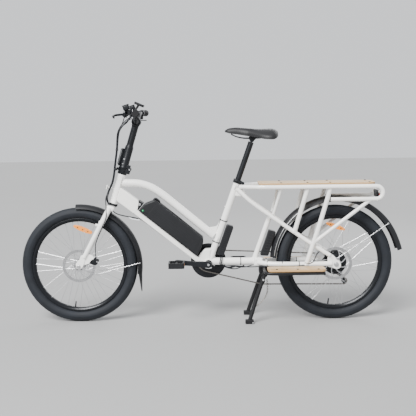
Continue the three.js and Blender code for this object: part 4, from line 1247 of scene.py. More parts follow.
def fenders():
    shape = Shape("black_plastic")
    fender_band(shape, FRONT_FENDER_CENTRE, FRONT_FENDER_RADIUS, 35, -8, 93)
    mud_flap(shape)
    box(shape, mid(-556, 604), (34, 14, 24), u=mid(0.86, -0.5), v=mid(0.5, 0.86), w=Y, corner=4)
    make("front_fender_band", shape, "front_fender")
    stay_wires("front_fender_stays", [(-690, 66, 302), (-640, 52, 272), (-520, 44, 296), (-392, 34.5, 326)],
               "steering")
    shape = Shape("black_plastic")
    fender_band(shape, REAR_FENDER_CENTRE, REAR_FENDER_RADIUS, 37, 10, 176, skirt=30, flare=5)
    box(shape, mid(640, 682), (30, 12, 26), corner=4)
    make("rear_fender_band", shape, "rear_fender")
    stay_wires("rear_fender_stays", [(672, 82, 348), (760, 70, 402), (860, 52, 466), (955, 36.5, 527)],
               "frame")
    # painted highlight: a thin grey alloy line along each side edge of the rear fender's front part stands in
    # for the light line that falls along that edge
    rim = Shape("grey_alloy")
    for side in SIDES:
        line = []
        for k in range(25):
            turn = math.radians(128 + 46 * k / 24)
            outward = ray(turn)
            line.append(REAR_FENDER_CENTRE + outward * FENDER_HIGHLIGHT_RADIUS + Y * side * 37.2)
        tube(rim, line, 1.5, 8)
    make("rear_fender_edge", rim, body="frame")


# ---------------------------------------------------------------- drive
PITCH = 12.7
CHAIN_Y = 45
CHAINRING_LINE, COG_LINE, JOCKEY_LINE, GUIDE_LINE = 60.8, 36.5, 18, 17  # radius of the chain's line on each
UPPER_JOCKEY, LOWER_JOCKEY, GUIDE_ROLLER = mid(702, 252), mid(730, 199), mid(280, 202)


def sprocket_row():
    """Centre, radius and side of each wheel that the chain passes; side 1 is inside the loop."""
    return [(CRANK, CHAINRING_LINE, 1), (REAR, COG_LINE, 1), (UPPER_JOCKEY, JOCKEY_LINE, -1),
            (LOWER_JOCKEY, JOCKEY_LINE, 1), (GUIDE_ROLLER, GUIDE_LINE, 1)]


def chain_line():
    """The closed line of the chain, in equal steps of about one pitch."""
    wheels = sprocket_row()
    leave = []
    for (a, ra, ta), (b, rb, tb) in zip(wheels, wheels[1:] + wheels[:1]):
        gap = b - a
        lift = math.asin((ta * ra - tb * rb) / math.hypot(gap.x, gap.z))
        leave.append(math.atan2(gap.z, gap.x) + math.pi / 2 - lift)
    points = []
    for i, (centre, radius, turn) in enumerate(wheels):
        start = leave[i - 1]
        sweep = (leave[i] - start) % (2 * math.pi)
        if turn * sweep > 0:
            sweep -= turn * 2 * math.pi
        for k in range(41):
            angle = start + sweep * k / 40
            outward = ray(angle)
            points.append(Vector((centre.x, CHAIN_Y, centre.z)) + outward * (turn * radius))
    lengths = [(b - a).length for a, b in zip(points, points[1:] + points[:1])]
    total = sum(lengths)
    links = 2 * round(total / PITCH / 2)
    step, result, walked, i = total / links, [], 0.0, 0
    for n in range(links):
        target = n * step
        while walked + lengths[i] < target:
            walked += lengths[i]
            i += 1
        share = (target - walked) / lengths[i]
        result.append(points[i].lerp(points[(i + 1) % len(points)], share))
    return result


def chain():
    line = chain_line()
    shape = Shape("chain_steel")
    for i, here in enumerate(line):
        after = line[(i + 1) % len(line)]
        along = (after - here).normalized()
        up = along.cross(Y)
        half = (after - here).length / 2
        centre = (here + after) / 2
        outline = []
        for end in (1, -1):
            for k in range(7):
                turn = math.radians(-68 + 136 * k / 6) + (0 if end > 0 else math.pi)
                outline.append((end * half + 4.0 * math.cos(turn), 4.0 * math.sin(turn)))
            outline.append((0, end * 2.7))
        out = 3.0 if i % 2 else 2.1
        for side in SIDES:
            prism(shape, outline, 0.8, centre + Y * side * out, u=along, v=up, w=Y, edge=0.15)
        bar(shape, here - Y * 3.6, here + Y * 3.6, 1.7, sides=8, edge=0.2)
        bar(shape, here - Y * 1.7, here + Y * 1.7, 3.7, sides=10, edge=0.2)
    make("chain_links", shape, "chain")


def sprocket(shape, centre, teeth, thick, bore):
    radius = teeth * PITCH / (2 * math.pi)
    outer = toothed(radius - 0.6, teeth, 3.0)
    washer(shape, outer, round_outline(bore, len(outer)), thick, centre)


def chainring():
    shape = Shape("black_alloy")
    centre = CRANK + Y * CHAIN_Y
    sprocket(shape, centre, 30, 2.6, 45)
    guard = [(95, 3.6), (97, 4.6), (97, 6.4), (95, 7.2), (78, 7.2), (74, 6.2), (74, 4.6), (78, 3.6)]
    spin(shape, guard, centre, Y, 96)
    spin(shape, [(75, 4.4), (75, 5.6), (50, 5.6), (50, 4.4)], centre, Y, 64)
    for k in range(5):
        turn = 2 * math.pi * k / 5 + 0.3
        away = ray(turn)
        tube(shape, [centre + away * 20 + Y * 3, centre + away * 36 + Y * 3.4, centre + away * 54 + Y * 4],
             [10, 8, 8], 16,
             flat=0.3)
        shape.paint = "steel"
        bolt(shape, centre + away * 51 + Y * 6.4, Y, 5, 2.6)
        bolt(shape, centre + away * 51 + Y * 1.2, -Y, 4.4, 1.6)
        shape.paint = "black_alloy"
    make("chainring_set", shape, "chainring")


CRANK_LENGTH, CRANK_TURN = 170, math.radians(5)


def crank_eye(side):
    """The point of the middle plane beside the pedal axis of one arm; the left arm points forwards and up."""
    return CRANK + mid(math.cos(CRANK_TURN), -math.sin(CRANK_TURN)) * (side * CRANK_LENGTH)


def crank_outline():
    """An arm along its own axis: round at the spindle, slightly waisted and round at the pedal."""
    points = []
    for k in range(13):
        turn = math.radians(90 + 180 * k / 12)
        points.append((18 * math.cos(turn), 18 * math.sin(turn)))
    points.append((CRANK_LENGTH * 0.5, -13))
    for k in range(13):
        turn = math.radians(-90 + 180 * k / 12)
        points.append((CRANK_LENGTH + 14.5 * math.cos(turn), 14.5 * math.sin(turn)))
    points.append((CRANK_LENGTH * 0.5, 13))
    return points


def cranks():
    shape = Shape("black_alloy")
    bar(shape, CRANK - Y * 74, CRANK + Y * 74, 11, sides=24)
    for side in SIDES:
        along = (crank_eye(side) - CRANK).normalized()
        prism(shape, crank_outline(), 13, CRANK + Y * side * 76, u=along, v=along.cross(Y), w=Y, edge=3.2)
        spin(shape, [(0, 64 * side), (15, 64 * side), (16.5, 67 * side), (16.5, 76 * side), (0, 76 * side)],
             CRANK, Y, 32)
        shape.paint = "steel"
        bolt(shape, CRANK + Y * side * 82, Y * side, 6.5, 2.6)
        shape.paint = "black_alloy"
    spin(shape, [(0, 42), (23, 42), (23.4, 43), (23.4, 53), (20, 56), (0, 56)], CRANK, Y, 40)
    make("crank_set", shape, "crank_arms")


def pedal(side):
    name = "left" if side < 0 else "right"
    eye = crank_eye(side)
    at = Vector((eye.x, side * 142, eye.z))
    shape = Shape("black_plastic")
    frame_outline = [(-42, -44), (42, -44), (42, 44), (30, 48), (-30, 48), (-42, 44)]
    for level in (-1, 1):
        outline = soften(frame_outline, 8)
        inner = [Vector(p) * 0.80 for p in outline]
        washer(shape, outline, inner, 3.4, at + Z * level * 12, u=X, v=Y * side, w=Z)
    for end in (-1, 1):
        prism(shape, soften([(-43, -11.5), (43, -11.5), (43, 11.5), (-43, 11.5)], 4), 9, at + X * end * 37,
              u=Y, v=Z, w=X, edge=1.4)
        prism(shape, soften([(-35, -11.5), (35, -11.5), (35, 11.5), (-35, 11.5)], 3), 7, at + Y * end * 42,
              u=X, v=Z, w=Y, edge=1.2)
    bar(shape, at - Y * 40, at + Y * 40, 10, sides=20)
    prism(shape, soften([(-34, -5), (34, -5), (34, 5), (-34, 5)], 2), 8, at, u=X, v=Z, w=Y, edge=1)
    shape.paint = "orange_lens"
    for end in (-1, 1):
        prism(shape, soften([(-26, -6), (26, -6), (26, 6), (-26, 6)], 3), 2.4, at + X * end * 41.4, u=Y,
              v=Z, w=X, edge=0.6)
    shape.paint = "steel"
    bar(shape, eye + Y * side * 70.5, at - Y * side * 44, 6.3, sides=20)
    for level in (-1, 1):
        for x, y in ((-37, -30), (-37, 0), (-37, 30), (37, -30), (37, 0), (37, 30)):
            spot = at + Vector((x, y, level * 13.4))
            bar(shape, spot, spot + Z * level * 1.6, 1.8, sides=8, edge=0.2)
    make(f"pedal_{name}_platform", shape, f"pedal_{name}")


def cassette():
    shape = Shape("steel")
    for teeth, y in ((28, 36.2), (24, 40.0), (18, 45.0), (16, 49.6), (14, 53.6), (12, 57.6)):
        sprocket(shape, REAR + Y * y, teeth, 2.0, 17.5)
    spin(shape, [(17, 35), (21, 35), (21, 59), (19.6, 60), (17, 60)], REAR, Y, 32)
    make("cassette_cogs", shape, "cassette")


def derailleur():
    guide, tension = UPPER_JOCKEY, LOWER_JOCKEY
    shape = Shape("black_alloy")
    hanger = soften([(663, 292), (684, 292), (696, 262), (690, 250), (674, 254), (668, 272)], 5)
    prism(shape, hanger, 7, (0, 74, 0), edge=1.4)
    bar(shape, Vector((680, 57, 268)), Vector((680, 80, 268)), 10.5, sides=28)
    bar(shape, Vector((683, 63, 264)), Vector((702, 62, 254)), 9, 8, sides=24)
    bolt(shape, Vector((680, 80, 268)), Y, 6, 3)
    for side in SIDES:
        prism(shape, soften([(672, 262), (684, 274), (706, 258), (700, 244)], 5), 3, (0, 66 + side * 6, 0),
              edge=0.8)
    make("derailleur_arm", shape, "derailleur_body")
    cage = Shape("black_alloy")
    along = (tension - guide).normalized()
    across = along.cross(Y)
    reach_half = (tension - guide).length / 2
    outline = soften([(-reach_half - 13, -9), (-4, -7), (reach_half + 13, -9), (reach_half + 13, 9),
                      (-4, 12), (-reach_half - 13, 9)], 9, 5)
    for side in SIDES:
        prism(cage, outline, 2, (guide + tension) / 2 + Y * (CHAIN_Y + side * 6), u=along, v=across, w=Y,
              edge=0.5)
    bar(cage, guide + Y * (CHAIN_Y + 6), guide + Y * (CHAIN_Y + 24), 7.6, sides=24)
    cage.paint = "black_plastic"
    for wheel_centre in (guide, tension):
        outer = toothed(13.6, 9, 2.4)
        washer(cage, outer, round_outline(4.2, len(outer)), 3.6, wheel_centre + Y * CHAIN_Y)
        cage.paint = "steel"
        bar(cage, wheel_centre + Y * (CHAIN_Y - 8), wheel_centre + Y * (CHAIN_Y + 8), 4.0, sides=16)
        cage.paint = "black_plastic"
    make("derailleur_cage_set", cage, "derailleur_cage")


def chain_guide():
    shape = Shape("black_plastic")
    low, high = reach("chain_guide")
    at = GUIDE_ROLLER
    prism(shape, soften([(270, 192), (290, 196), (303, 274), (266, 274), (270, 240)], 7), 4, (0, 34, 0),
          edge=1)
    spin(shape, [(4.4, -5.5), (14.5, -5.5), (14.5, -3.8), (11.6, -3.2), (11.6, 3.2), (14.5, 3.8),
                 (14.5, 5.5), (4.4, 5.5)],
         at + Y * CHAIN_Y, Y, 32)
    shape.paint = "steel"
    bar(shape, at + Y * low.y, at + Y * (high.y - 2), 4, sides=16)
    bolt(shape, at + Y * (high.y - 3), Y, 6, 3)
    make("chain_guide_roller", shape, "chain_guide")


# ---------------------------------------------------------------- fork and cockpit
def fork():
    shape = Shape("frame_paint")
    box(shape, steer(-108, -6), (44, 122, 26), u=steer.back, v=Y, w=steer.up, corner=13, edge=9)
    for side in SIDES:
        top, foot = steer(-104, -10, side * 50), mid(-690, 362, side * 55)
        tube(shape, [top, top.lerp(foot, 0.5), foot], [15, 14, 12], 32)
        outline = [(-706, 376), (-676, 378), (-684, 350), (-694, 318), (-708, 300), (-728, 300),
                   (-736, 318), (-732, 336), (-714, 352)]
        prism(shape, soften(outline, 8), 6, (0, side * 55, 0), edge=1.4)
        bar(shape, mid(-603, 536, side * 52), mid(-624, 541, side * 54), 7, sides=20)
        box(shape, mid(-600, 548, side * 51), (14, 30, 10), u=steer.back, v=steer.up, w=Y, corner=4, edge=2)
        bar(shape, mid(-592, 545, side * 52), mid(-584, 541, side * 52), 4, sides=14)
    tabs = soften([(-672, 386), (-640, 372), (-634, 356), (-650, 350), (-664, 330), (-690, 322),
                   (-694, 348)], 7)
    prism(shape, tabs, 5, (0, -52, 0), edge=1.2)
    tube(shape, [steer(-100), steer(112)], 14.2, 28)
    make("fork_frame", shape, "fork")


FOLD_AT, FOLD_BACK, CLAMP_AT = 118, 34, 374


def stem():
    shape = Shape("black_alloy")
    spin(shape, [(14.6, 82.4), (24.4, 82.4), (25, 83.4), (25, 113), (26.4, 115), (26.4, 117.4),
                 (14.6, 117.4)], steer(0), steer.up)
    box(shape, steer(104, 27), (26, 24, 42), u=steer.back, v=steer.up, w=Y, corner=5, edge=3)
    box(shape, steer(106, -27), (15, 13, 22), u=steer.back, v=steer.up, w=Y, corner=3, edge=2)
    bolt(shape, steer(106, -34), -steer.back, 3.6, 3)
    make("stem_base_block", shape, "stem_base")
    post = Shape("black_alloy")
    profile = [(0, 118.4), (25.6, 118.4), (25.8, 120), (24.6, 124), (23, 128), (23, 228), (21.6, 236),
               (18.8, 243), (18.5, 250), (18.5, 356), (0, 358)]
    spin(post, profile, steer(0), steer.up, 48)
    bar(post, steer(FOLD_AT, FOLD_BACK, -22), steer(FOLD_AT, FOLD_BACK, 22), 9, sides=28)
    box(post, steer(129, 24), (22, 20, 42), u=steer.back, v=steer.up, w=Y, corner=4, edge=3)
    post.paint = "steel"
    for side in SIDES:
        bolt(post, steer(FOLD_AT, FOLD_BACK, side * 22), Y * side, 4.6, 2.6)
        bolt(post, steer(166, -8, side * 21), Y * side, 4.4, 2.4)
        bolt(post, steer(140, -9, side * 20.8), Y * side, 3.0, 1.8)
    post.paint = "black_alloy"
    clamp = [(0, -26), (23.6, -26), (25, -24.6), (25, -1), (24.4, -0.4), (24.4, 0.4), (25, 1), (25, 24.6),
             (23.6, 26), (0, 26)]
    spin(post, clamp, steer(CLAMP_AT), Y, 48)
    tube(post, [steer(346), steer(CLAMP_AT)], [18.6, 24], 28)
    post.paint = "steel"
    for side in SIDES:
        for level in (-15, 15):
            bolt(post, steer(CLAMP_AT + level, -20, side * 15), -steer.back, 4, 4)
    make("stem_post_tube", post, "stem_post")
    latch = Shape("black_alloy")
    line = curve([steer(128, -28.8), steer(146, -29.4), steer(176, -28.6), steer(206, -29.4),
                  steer(218, -33)], 6)
    tube(latch, line, [6.2, *[10.5] * (len(line) - 2), 7], 16, flat=1.0)
    bar(latch, steer(128, -28.8, -13), steer(128, -28.8, 13), 5, sides=18)
    # painted highlights: a grey alloy strip along the lever's face and a thin grey line along each side edge
    # stand in for the bright highlights on the dark lever
    latch.paint = "grey_alloy"
    tube(latch, [steer(150, -39.4), steer(176, -39.2), steer(206, -39.4)], 2.2, 10)
    for side in SIDES:
        rim = [steer(134, -32, side * 9.6), steer(150, -34, side * 9.8), steer(206, -34, side * 9.8),
               steer(216, -36, side * 8)]
        tube(latch, rim, 1.5, 8)
    make("stem_latch_lever", latch, "stem_latch")


BAR = steer(CLAMP_AT)


def bar_line():
    half = [(1, 45, 3), (8, 110, 38), (12, 165, 46), (14.4, 200, 46), (18.6, 262, 46), (24, 342, 46)]
    right = [BAR + Vector(p) for p in half]
    left = [BAR + Vector((x, -y, z)) for x, y, z in reversed(half)]
    return curve([*left, BAR, *right], 8)


def on_bar(side, y):
    """A point on the straight outer part of the bar."""
    return BAR + Vector((12 + 12 * (y - 165) / 177, side * y, 46))


def along_bar(side):
    return (on_bar(side, 342) - on_bar(side, 165)).normalized()


def handlebar():
    line = bar_line()
    radii = [15.9 - 4.8 * min(1.0, max(0.0, (abs(p.y) - 34) / 40)) for p in line]
    shape = Shape("black_alloy")
    tube(shape, line, radii, 24)
    make("handlebar_tube", shape, "handlebar")


def grip(side):
    name = "left" if side < 0 else "right"
    start, away = on_bar(side, 212), along_bar(side)
    length = (on_bar(side, 345) - start).length
    shape = Shape("grip_rubber")
    profile = [(11.8, 0), (18, 0), (18.6, 2), (18.2, 6), (16, 8)]
    ribs = 22
    for k in range(ribs):
        at = 10 + (length - 24) * k / ribs
        step = (length - 24) / ribs
        profile += [(15.2, at), (16.5, at + step * 0.25), (16.5, at + step * 0.7), (15.2, at + step * 0.95)]
    profile += [(16.4, length - 11), (18.4, length - 7), (18.4, length - 2), (16.8, length), (0, length)]
    profile[0] = (0, 0)
    spin(shape, profile, start, away, 32)
    palm = [start + away * t + Vector((10, 0, -3)) for t in (length - 62, length - 40, length - 14)]
    tube(shape, palm, [9, 13, 10], 20)
    make(f"grip_{name}_sleeve", shape, f"grip_{name}")


def brake_control(side):
    """Clamp and master cylinder on the bar."""
    name = "left" if side < 0 else "right"
    at, away = on_bar(side, 176), along_bar(side)
    shape = Shape("black_alloy")
    spin(shape, [(11.8, -9), (16, -9), (16.8, -8), (16.8, 8), (16, 9), (11.8, 9)], at, away, 36)
    lever_pivot = pivot(f"brake_{name}")
    body = [at + Vector((-14, -side * 6, 4)), at + Vector((-30, -side * 16, 5)),
            at + Vector((-52, -side * 22, 4))]
    tube(shape, curve(body, 5), 10.5, 20)
    bar(shape, at + Vector((-34, -side * 26, 4)), at + Vector((-34, side * 6, 4)), 9.5, 8, sides=20)
    box(shape, at + Vector((-40, -side * 14, 11)), (34, 20, 9), u=X, v=Y, w=Z, corner=4, edge=1.6)
    for level in (-1, 1):
        spin(shape, [(0, 10.2 * level), (10, 10.2 * level), (10, 13.2 * level), (0, 13.2 * level)],
             lever_pivot, Z, 24)
    link = [lever_pivot + Z * 11.5, at + Vector((-40, -side * 8, 11))]
    tube(shape, link, 4.5, 12)
    tube(shape, [p - Z * 22 for p in link], 3.4, 12)
    lean = math.radians(18)
    up, ahead = mid(-math.sin(lean), math.cos(lean)), mid(-math.cos(lean), -math.sin(lean))
    tank = lever_pivot - ahead * 17 + up * 29 - Y * side * 8
    box(shape, tank, (34, 34, 24), u=ahead, v=Y, w=up, corner=7, edge=4)
    box(shape, tank + up * 13.5, (36, 36, 5), u=ahead, v=Y, w=up, corner=7, edge=1.6)
    tube(shape, [tank - up * 10, tank - up * 20 + X * 4, at + Vector((-30, -side * 12, 10))], 8, 20)
    elbow = [at + Vector((-44, -side * 18, 2)), at + Vector((-56, -side * 22, -4)),
             at + Vector((-61, -side * 24, -22))]
    tube(shape, curve(elbow, 6), 4.6, 16)
    shape.paint = "steel"
    bolt(shape, lever_pivot + Z * 13, Z, 4, 2)
    for across in (-11, 11):
        bolt(shape, tank + up * 16 + Y * across, up, 2.6, 1)
    bolt(shape, at + Vector((-16, side * 2, 12)), Z, 3, 3)
    if side > 0:
        shifter_pod(shape)
    make(f"control_{name}_unit", shape, f"control_{name}")
    blade = Shape("black_alloy")
    bends = [(0, 0, 0), (-44, 26, -5), (-54, 70, -10), (-48, 112, -13), (-41, 135, -15)]
    line = curve([lever_pivot + Vector((x, side * y, z)) for x, y, z in bends], 6)
    count = len(line)
    tube(blade, line, [6.4 - 1.2 * math.sin(math.pi * i / count) for i in range(count - 1)] + [7], 16,
         flat=0.62)
    spin(blade, [(0, -8.5), (8.4, -8.5), (9.2, -7.5), (9.2, 7.5), (8.4, 8.5), (0, 8.5)], lever_pivot, Z, 24)
    make(f"brake_lever_{name}_blade", blade, f"brake_lever_{name}")


def shifter_pod(shape):
    at, away = on_bar(1, 197), along_bar(1)
    shape.paint = "black_plastic"
    spin(shape, [(11.8, -9), (16, -9), (16.6, -8), (16.6, 8), (16, 9), (11.8, 9)], at, away, 32)
    box(shape, at + Vector((-12, 0, -24)), (38, 22, 14), u=X, v=Z, w=Y, corner=7, edge=3)
    shape.paint = "clear_lens"
    box(shape, at + Vector((-14, 0, -12)), (18, 12, 3), u=X, v=Y, w=Z, corner=4, edge=0.8)


def thumb_controls():
    start, away = on_bar(-1, 199.5), along_bar(-1)
    shape = Shape("black_plastic")
    spin(shape, [(11.8, -6), (15.4, -6), (16, -5), (16, 5), (15.4, 6), (11.8, 6)], start, away, 32)
    paddle = curve([start + Vector((2, 0, -13)), start + Vector((7, 0, -24)), start + Vector((16, 0, -36))],
                   5)
    tube(shape, paddle, [5, *[7] * (len(paddle) - 2), 4.5], 16, flat=0.9)
    make("throttle_thumb", shape, "throttle_paddle")
    paddle_pivot = pivot("shift_push")
    shape = Shape("black_plastic")
    spin(shape, [(0, -3), (8.4, -3), (9, -2.2), (9, 2.2), (8.4, 3), (0, 3)], paddle_pivot, Z, 28)
    prism(shape, soften([(0, -2), (42, -4), (42, 10), (0, 6)], 4), 5, paddle_pivot, u=X, v=Y, w=Z, edge=1.4)
    make("shift_thumb", shape, "shift_paddle")


def display():
    shape = Shape("black_plastic")
    spin(shape, [(15.9, -6), (18, -6), (18.6, -5), (18.6, 5), (18, 6), (15.9, 6)],
         BAR + Vector((-4, -38, 1)), Y, 32)
    tube(shape, curve([BAR + Vector((-10, -38, 14)), BAR + Vector((-6, -38, 52)),
                       BAR + Vector((16, -36, 88))]), 6, 20)
    lean = math.radians(24)
    u, w = mid(math.cos(lean), -math.sin(lean)), mid(math.sin(lean), math.cos(lean))
    face = BAR + Vector((20, -30, 92))
    prism(shape, soften([(-26, -37), (26, -37), (26, 37), (-26, 37)], 10), 13, face, u=u, v=Y, w=w, edge=3)
    shape.paint = "screen_glass"
    prism(shape, soften([(-21, -31), (21, -31), (21, 31), (-21, 31)], 5), 2, face + w * 6.2, u=u, v=Y, w=w,
          edge=0.6)
    shape.paint = "black_plastic"
    for y in (-16, 0, 16):
        box(shape, face + u * 23 + w * 6.6 + Y * y, (3, 9, 2), u=u, v=Y, w=w, corner=1, edge=0.5)
    make("display_unit", shape, "display")


# ---------------------------------------------------------------- stand
def stand():
    shape = Shape("black_paint")
    bar(shape, STAND - Y * 75, STAND + Y * 75, 7, sides=24)
    for side in SIDES:
        hub_centre = STAND + Y * side * 74
        bar(shape, hub_centre - Y * 7, hub_centre + Y * 7, 15, sides=32)
        foot = mid(STAND.x - 84, 14, side * 99)
        leg = curve([hub_centre, STAND + Vector((-32, side * 80, -90)), foot], 8)
        tube(shape, leg, 11, 24)
        bolt(shape, hub_centre + Y * side * 7, Y * side, 7, 3)
        shape.paint = "grip_rubber"
        box(shape, mid(STAND.x - 84, 11, side * 100), (46, 22, 30), u=X, v=Z, w=Y, corner=6, edge=3)
        shape.paint = "black_paint"
    make("stand_legs_pair", shape, "stand")
    spring = Shape("chain_steel")
    path = curve([STAND + Vector((12, -88, -26)), STAND + Vector((12, -90, -96)),
                  STAND + Vector((-14, -92, -140)),
                  STAND + Vector((-44, -92, -166))], 40)
    coil = []
    for i, here in enumerate(path):
        turn = 2 * math.pi * i / 5
        coil.append(here + X * 3.8 * math.cos(turn) + Y * 3.8 * math.sin(turn))
    tube(spring, coil, 1.6, 6)
    for end in (path[0], path[-1]):
        bar(spring, end - Y * 5, end + Y * 12, 2.6, sides=12)
    spring.paint = "steel"
    for side in SIDES:
        bolt(spring, mid(STAND.x - 66, 8, side * 114), Y * side, 4.5, 3)
        bolt(spring, STAND + Vector((-8, side * 88, -26)), Y * side, 6, 3)
    make("stand_spring", spring, body=BODY_OF["stand"])


# ---------------------------------------------------------------- cables
HOSE_RADIUS = 2.5
# where each cable of the bundle runs, clear of the latch: sideways, and forwards or back of the bundle
LOOM = {"left_brake": (-34, 3), "throttle": (-29, -3), "display": (-24, 3), "right_brake": (-19, -3),
        "shift": (-14.5, 2)}


def free_cable(name, line, radius=HOSE_RADIUS, body=None, across=None):
    """A cable that hangs between two fixings: it rides on one body, or, when `across` is given, its shape is
    baked in place and it rides on none.
    """
    shape = Shape("cable_black")
    tube(shape, line, radius, 12, edge=0.4)
    obj = make(name, shape, body=body)
    if across:
        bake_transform(obj)


def cable_starts():
    """Where each cable leaves its control, and the first point on its way forwards."""
    left, right, pod = on_bar(-1, 176), on_bar(1, 176), on_bar(1, 197)
    thumb, screen = on_bar(-1, 199), BAR + Vector((-12, -38, 30))
    return {
        "left_brake": [left + Vector((-62, 24, -22)), left + Vector((-70, 32, -44))],
        "throttle": [thumb + Vector((-6, 6, -14)), thumb + Vector((-40, 30, -26))],
        "display": [screen + Vector((-6, 0, 0)), screen + Vector((-40, 8, -30))],
        "right_brake": [right + Vector((-62, -24, -22)), right + Vector((-72, -34, -44))],
        "shift": [pod + Vector((-31, -4, -24)), pod + Vector((-66, -26, -34))],
    }


def cockpit_cables():
    """From the controls down to the clip in front of the stem base."""
    for name, (start, away) in cable_starts().items():
        y, back = LOOM[name]
        line = curve([start, away, steer(296, -74 + back, y * 2.2 + 18),
                      steer(203, -58 + back, y * 1.1 + 1), steer(150, -50 + back, y),
                      steer(100, -42 + back, y)], 9)
        free_cable(f"{name}_cable_upper", line,
                   across=("handlepost", "steering", steer(215, -50), steer(104, -44)))


def loom_cables():
    """From the clip past the head tube to the frame."""
    for name, (y, back) in LOOM.items():
        if name == "left_brake":
            continue
        line = curve([steer(100, -42 + back, y), steer(60, -36 + back, y), steer(23, -35 + back, y + 3),
                      steer(-25, -41 + back, y - 1), steer(-70, -37 + back, y - 3),
                      steer(-104, -8, y * 0.4 - 19), steer(-128, 26, y * 0.35 - 18),
                      mid(-399, 566, y * 0.8 + 16)], 8)
        free_cable(f"{name}_cable_loom", line, across=("steering", "frame", steer(60, -40), steer(-99, 6)))


def front_brake_hose():
    """Down behind the left fork leg to the front brake."""
    y, back = LOOM["left_brake"]
    end = middle("front_caliper") + Vector((11, 0, 27))
    line = curve([steer(100, -42 + back, y), steer(60, -36 + back, y), steer(23, -36, y + 4),
                  steer(-25, -42, y - 4), steer(-66, -44, y - 10), steer(-110, -28, -58),
                  steer(-160, -14, -70), mid(-590, 520, -72), mid(-622, 440, -70), end + Z * 30, end], 8)
    free_cable("front_brake_hose", line, body="steering")


def frame_cables():
    """Brake hose, gear cable and wiring along the frame, tied to the tubes."""
    shape = Shape("cable_black")
    end = middle("rear_caliper") + Vector((6, 0, 26))
    paths = [
        [mid(-399, 568, 10), mid(-372, 552, 12), mid(-250, 452, 34), mid(-140, 372, 34), mid(-40, 300, 30),
         mid(40, 292, 26), mid(120, 296, 18), mid(200, 298, -34), mid(262, 302, -48), mid(360, 306, -74),
         mid(470, 310, -84), mid(540, 330, -84), mid(566, 372, -76), end],
        [seat(60, -14, 20), mid(20, 296, 26), mid(100, 294, 22), mid(180, 288, 16), mid(246, 300, 44),
         mid(330, 303, 68), mid(480, 303, 80), mid(620, 300, 88), mid(668, 288, 84), mid(680, 276, 78)],
    ]
    for line in paths:
        tube(shape, curve(line, 8), HOSE_RADIUS, 10)
    loops = curve([mid(60, 300, 10), mid(90, 286, 6), mid(128, 282, 0), mid(160, 292, -4),
                   mid(178, 302, 0)], 8)
    tube(shape, loops, 3, 10)
    motor = curve([mid(520, 303, 84), mid(590, 299, 90), mid(640, 306, 94), mid(662, 314, 92)], 8)
    tube(shape, motor, 3.4, 10)
    for shift in (0, 9):
        drop = curve([seat(66, 40 + shift, -12), mid(48 + shift, 346, -26), mid(44 + shift, 318, -27),
                      mid(56 + shift, 300, -14), mid(96, 292 - shift / 2, -4), mid(140, 299, 0)], 8)
        tube(shape, drop, 2.6, 10)
    make("frame_cables", shape, body="frame")
    ties = Shape("black_plastic")
    for x in (300, 380, 470):
        for side in SIDES:
            y = along_table([(252, 24), (290, 46), (345, 62), (480, 70), (645, 78)], x)
            spin(ties, [(13.2, -2.2), (14.6, -2.2), (14.6, 2.2), (13.2, 2.2)], mid(x, 317, side * y), X, 24)
    spin(ties, [(20.2, -2.2), (21.8, -2.2), (21.8, 2.2), (20.2, 2.2)], mid(158, 324), X, 28)
    make("frame_ties", ties, body="frame")


def cable_clips():
    """The small guides that hold the cables to the stem base and the lower stem."""
    clip = Shape("black_plastic")
    box(clip, steer(100, -38, -19), (16, 42, 9), u=steer.back, v=Y, w=steer.up, corner=4)
    make("stem_base_clip", clip, body="steering")
    tie = Shape("black_plastic")
    box(tie, steer(203, -58, -26), (13, 34, 8), u=steer.back, v=Y, w=steer.up, corner=4)
    make("loom_tie", tie, body="handlepost")


# ---------------------------------------------------------------- stage
def floor():
    bpy.ops.mesh.primitive_grid_add(x_subdivisions=4, y_subdivisions=4, size=30, location=(0, 0, 0))
    ground = bpy.context.object
    ground.name = "floor"
    ground.data.materials.append(mottled("floor_paper", (0.325, 0.325, 0.323), 0.85, patch=900, spread=0.01,
                                         grain=3))


def lamp(name, place, target, width, power):
    data = bpy.data.lights.new(name, "AREA")
    data.shape = "RECTANGLE"
    data.size, data.size_y = width
    data.energy = power
    obj = bpy.data.objects.new(name, data)
    obj.location = place
    obj.rotation_euler = (Vector(target) - Vector(place)).to_track_quat("-Z", "Y").to_euler()
    bpy.context.scene.collection.objects.link(obj)


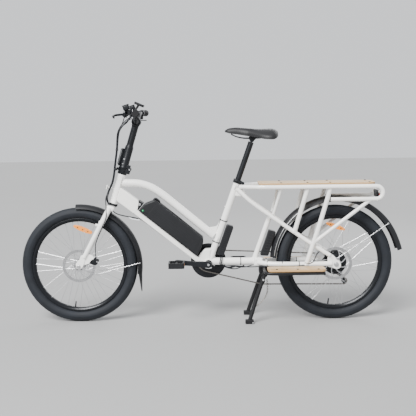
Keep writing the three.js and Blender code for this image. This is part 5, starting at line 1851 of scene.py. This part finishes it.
def lights():
    world = bpy.data.worlds.new("studio")
    world.use_nodes = True
    backdrop = world.node_tree.nodes["Background"]
    backdrop.inputs["Color"].default_value = (0.95, 0.97, 1.0, 1)
    backdrop.inputs["Strength"].default_value = 1.05
    bpy.context.scene.world = world
    sun = bpy.data.lights.new("daylight", "SUN")
    sun.energy = 5.6
    sun.angle = math.radians(28)
    above = bpy.data.objects.new("daylight", sun)
    above.rotation_euler = (math.radians(38), math.radians(-24), 0)
    bpy.context.scene.collection.objects.link(above)
    lamp("key", (-1.8, -3.4, 2.6), (0, 0, 0.5), (2.2, 1.6), 100)
    lamp("rim", (1.6, 3.2, 2.6), (0, 0, 0.6), (2.8, 1.4), 40)


def camera():
    data = bpy.data.cameras.new("photo_view")
    data.lens = 69.1
    data.sensor_width = 36
    obj = bpy.data.objects.new("photo_view", data)
    obj.location = (-0.017, -4.305, 1.132)
    look = Matrix.Rotation(math.radians(90 - 6.8), 4, "X") @ Matrix.Rotation(math.radians(-0.68), 4, "Z")
    obj.rotation_euler = look.to_euler()
    bpy.context.scene.collection.objects.link(obj)
    bpy.context.scene.camera = obj


# ---------------------------------------------------------------- the whole bicycle
camera()
lights()
floor()
cockpit_cables()
loom_cables()
front_brake_hose()
frame_cables()
cable_clips()

head_tube()
top_tube()
down_tube()
seat_tube()
base_tube()
chainstays()
upper_stays()
for half in SIDES:
    rack_rail(half)
arch("front_arch", (334, 50, 588), (374, 95, 736), 8, False)
arch("middle_arch", (447, 57, 492), (515, 95, 736), 12, True)
rear_arch()
boards()
board_support()
battery()
battery_dock()
boxes()
tail_light()
seat_parts()
saddle()

for place_name in ("front", "rear"):
    tyre(place_name)
    wheel(place_name)
    rotor(place_name)
axle_parts()
caliper("front", "black_alloy")
caliper("rear", "grey_alloy")
fenders()

chain()
chainring()
cranks()
for half in SIDES:
    pedal(half)
cassette()
derailleur()
chain_guide()
stand()

fork()
stem()
handlebar()
for half in SIDES:
    grip(half)
    brake_control(half)
thumb_controls()
display()
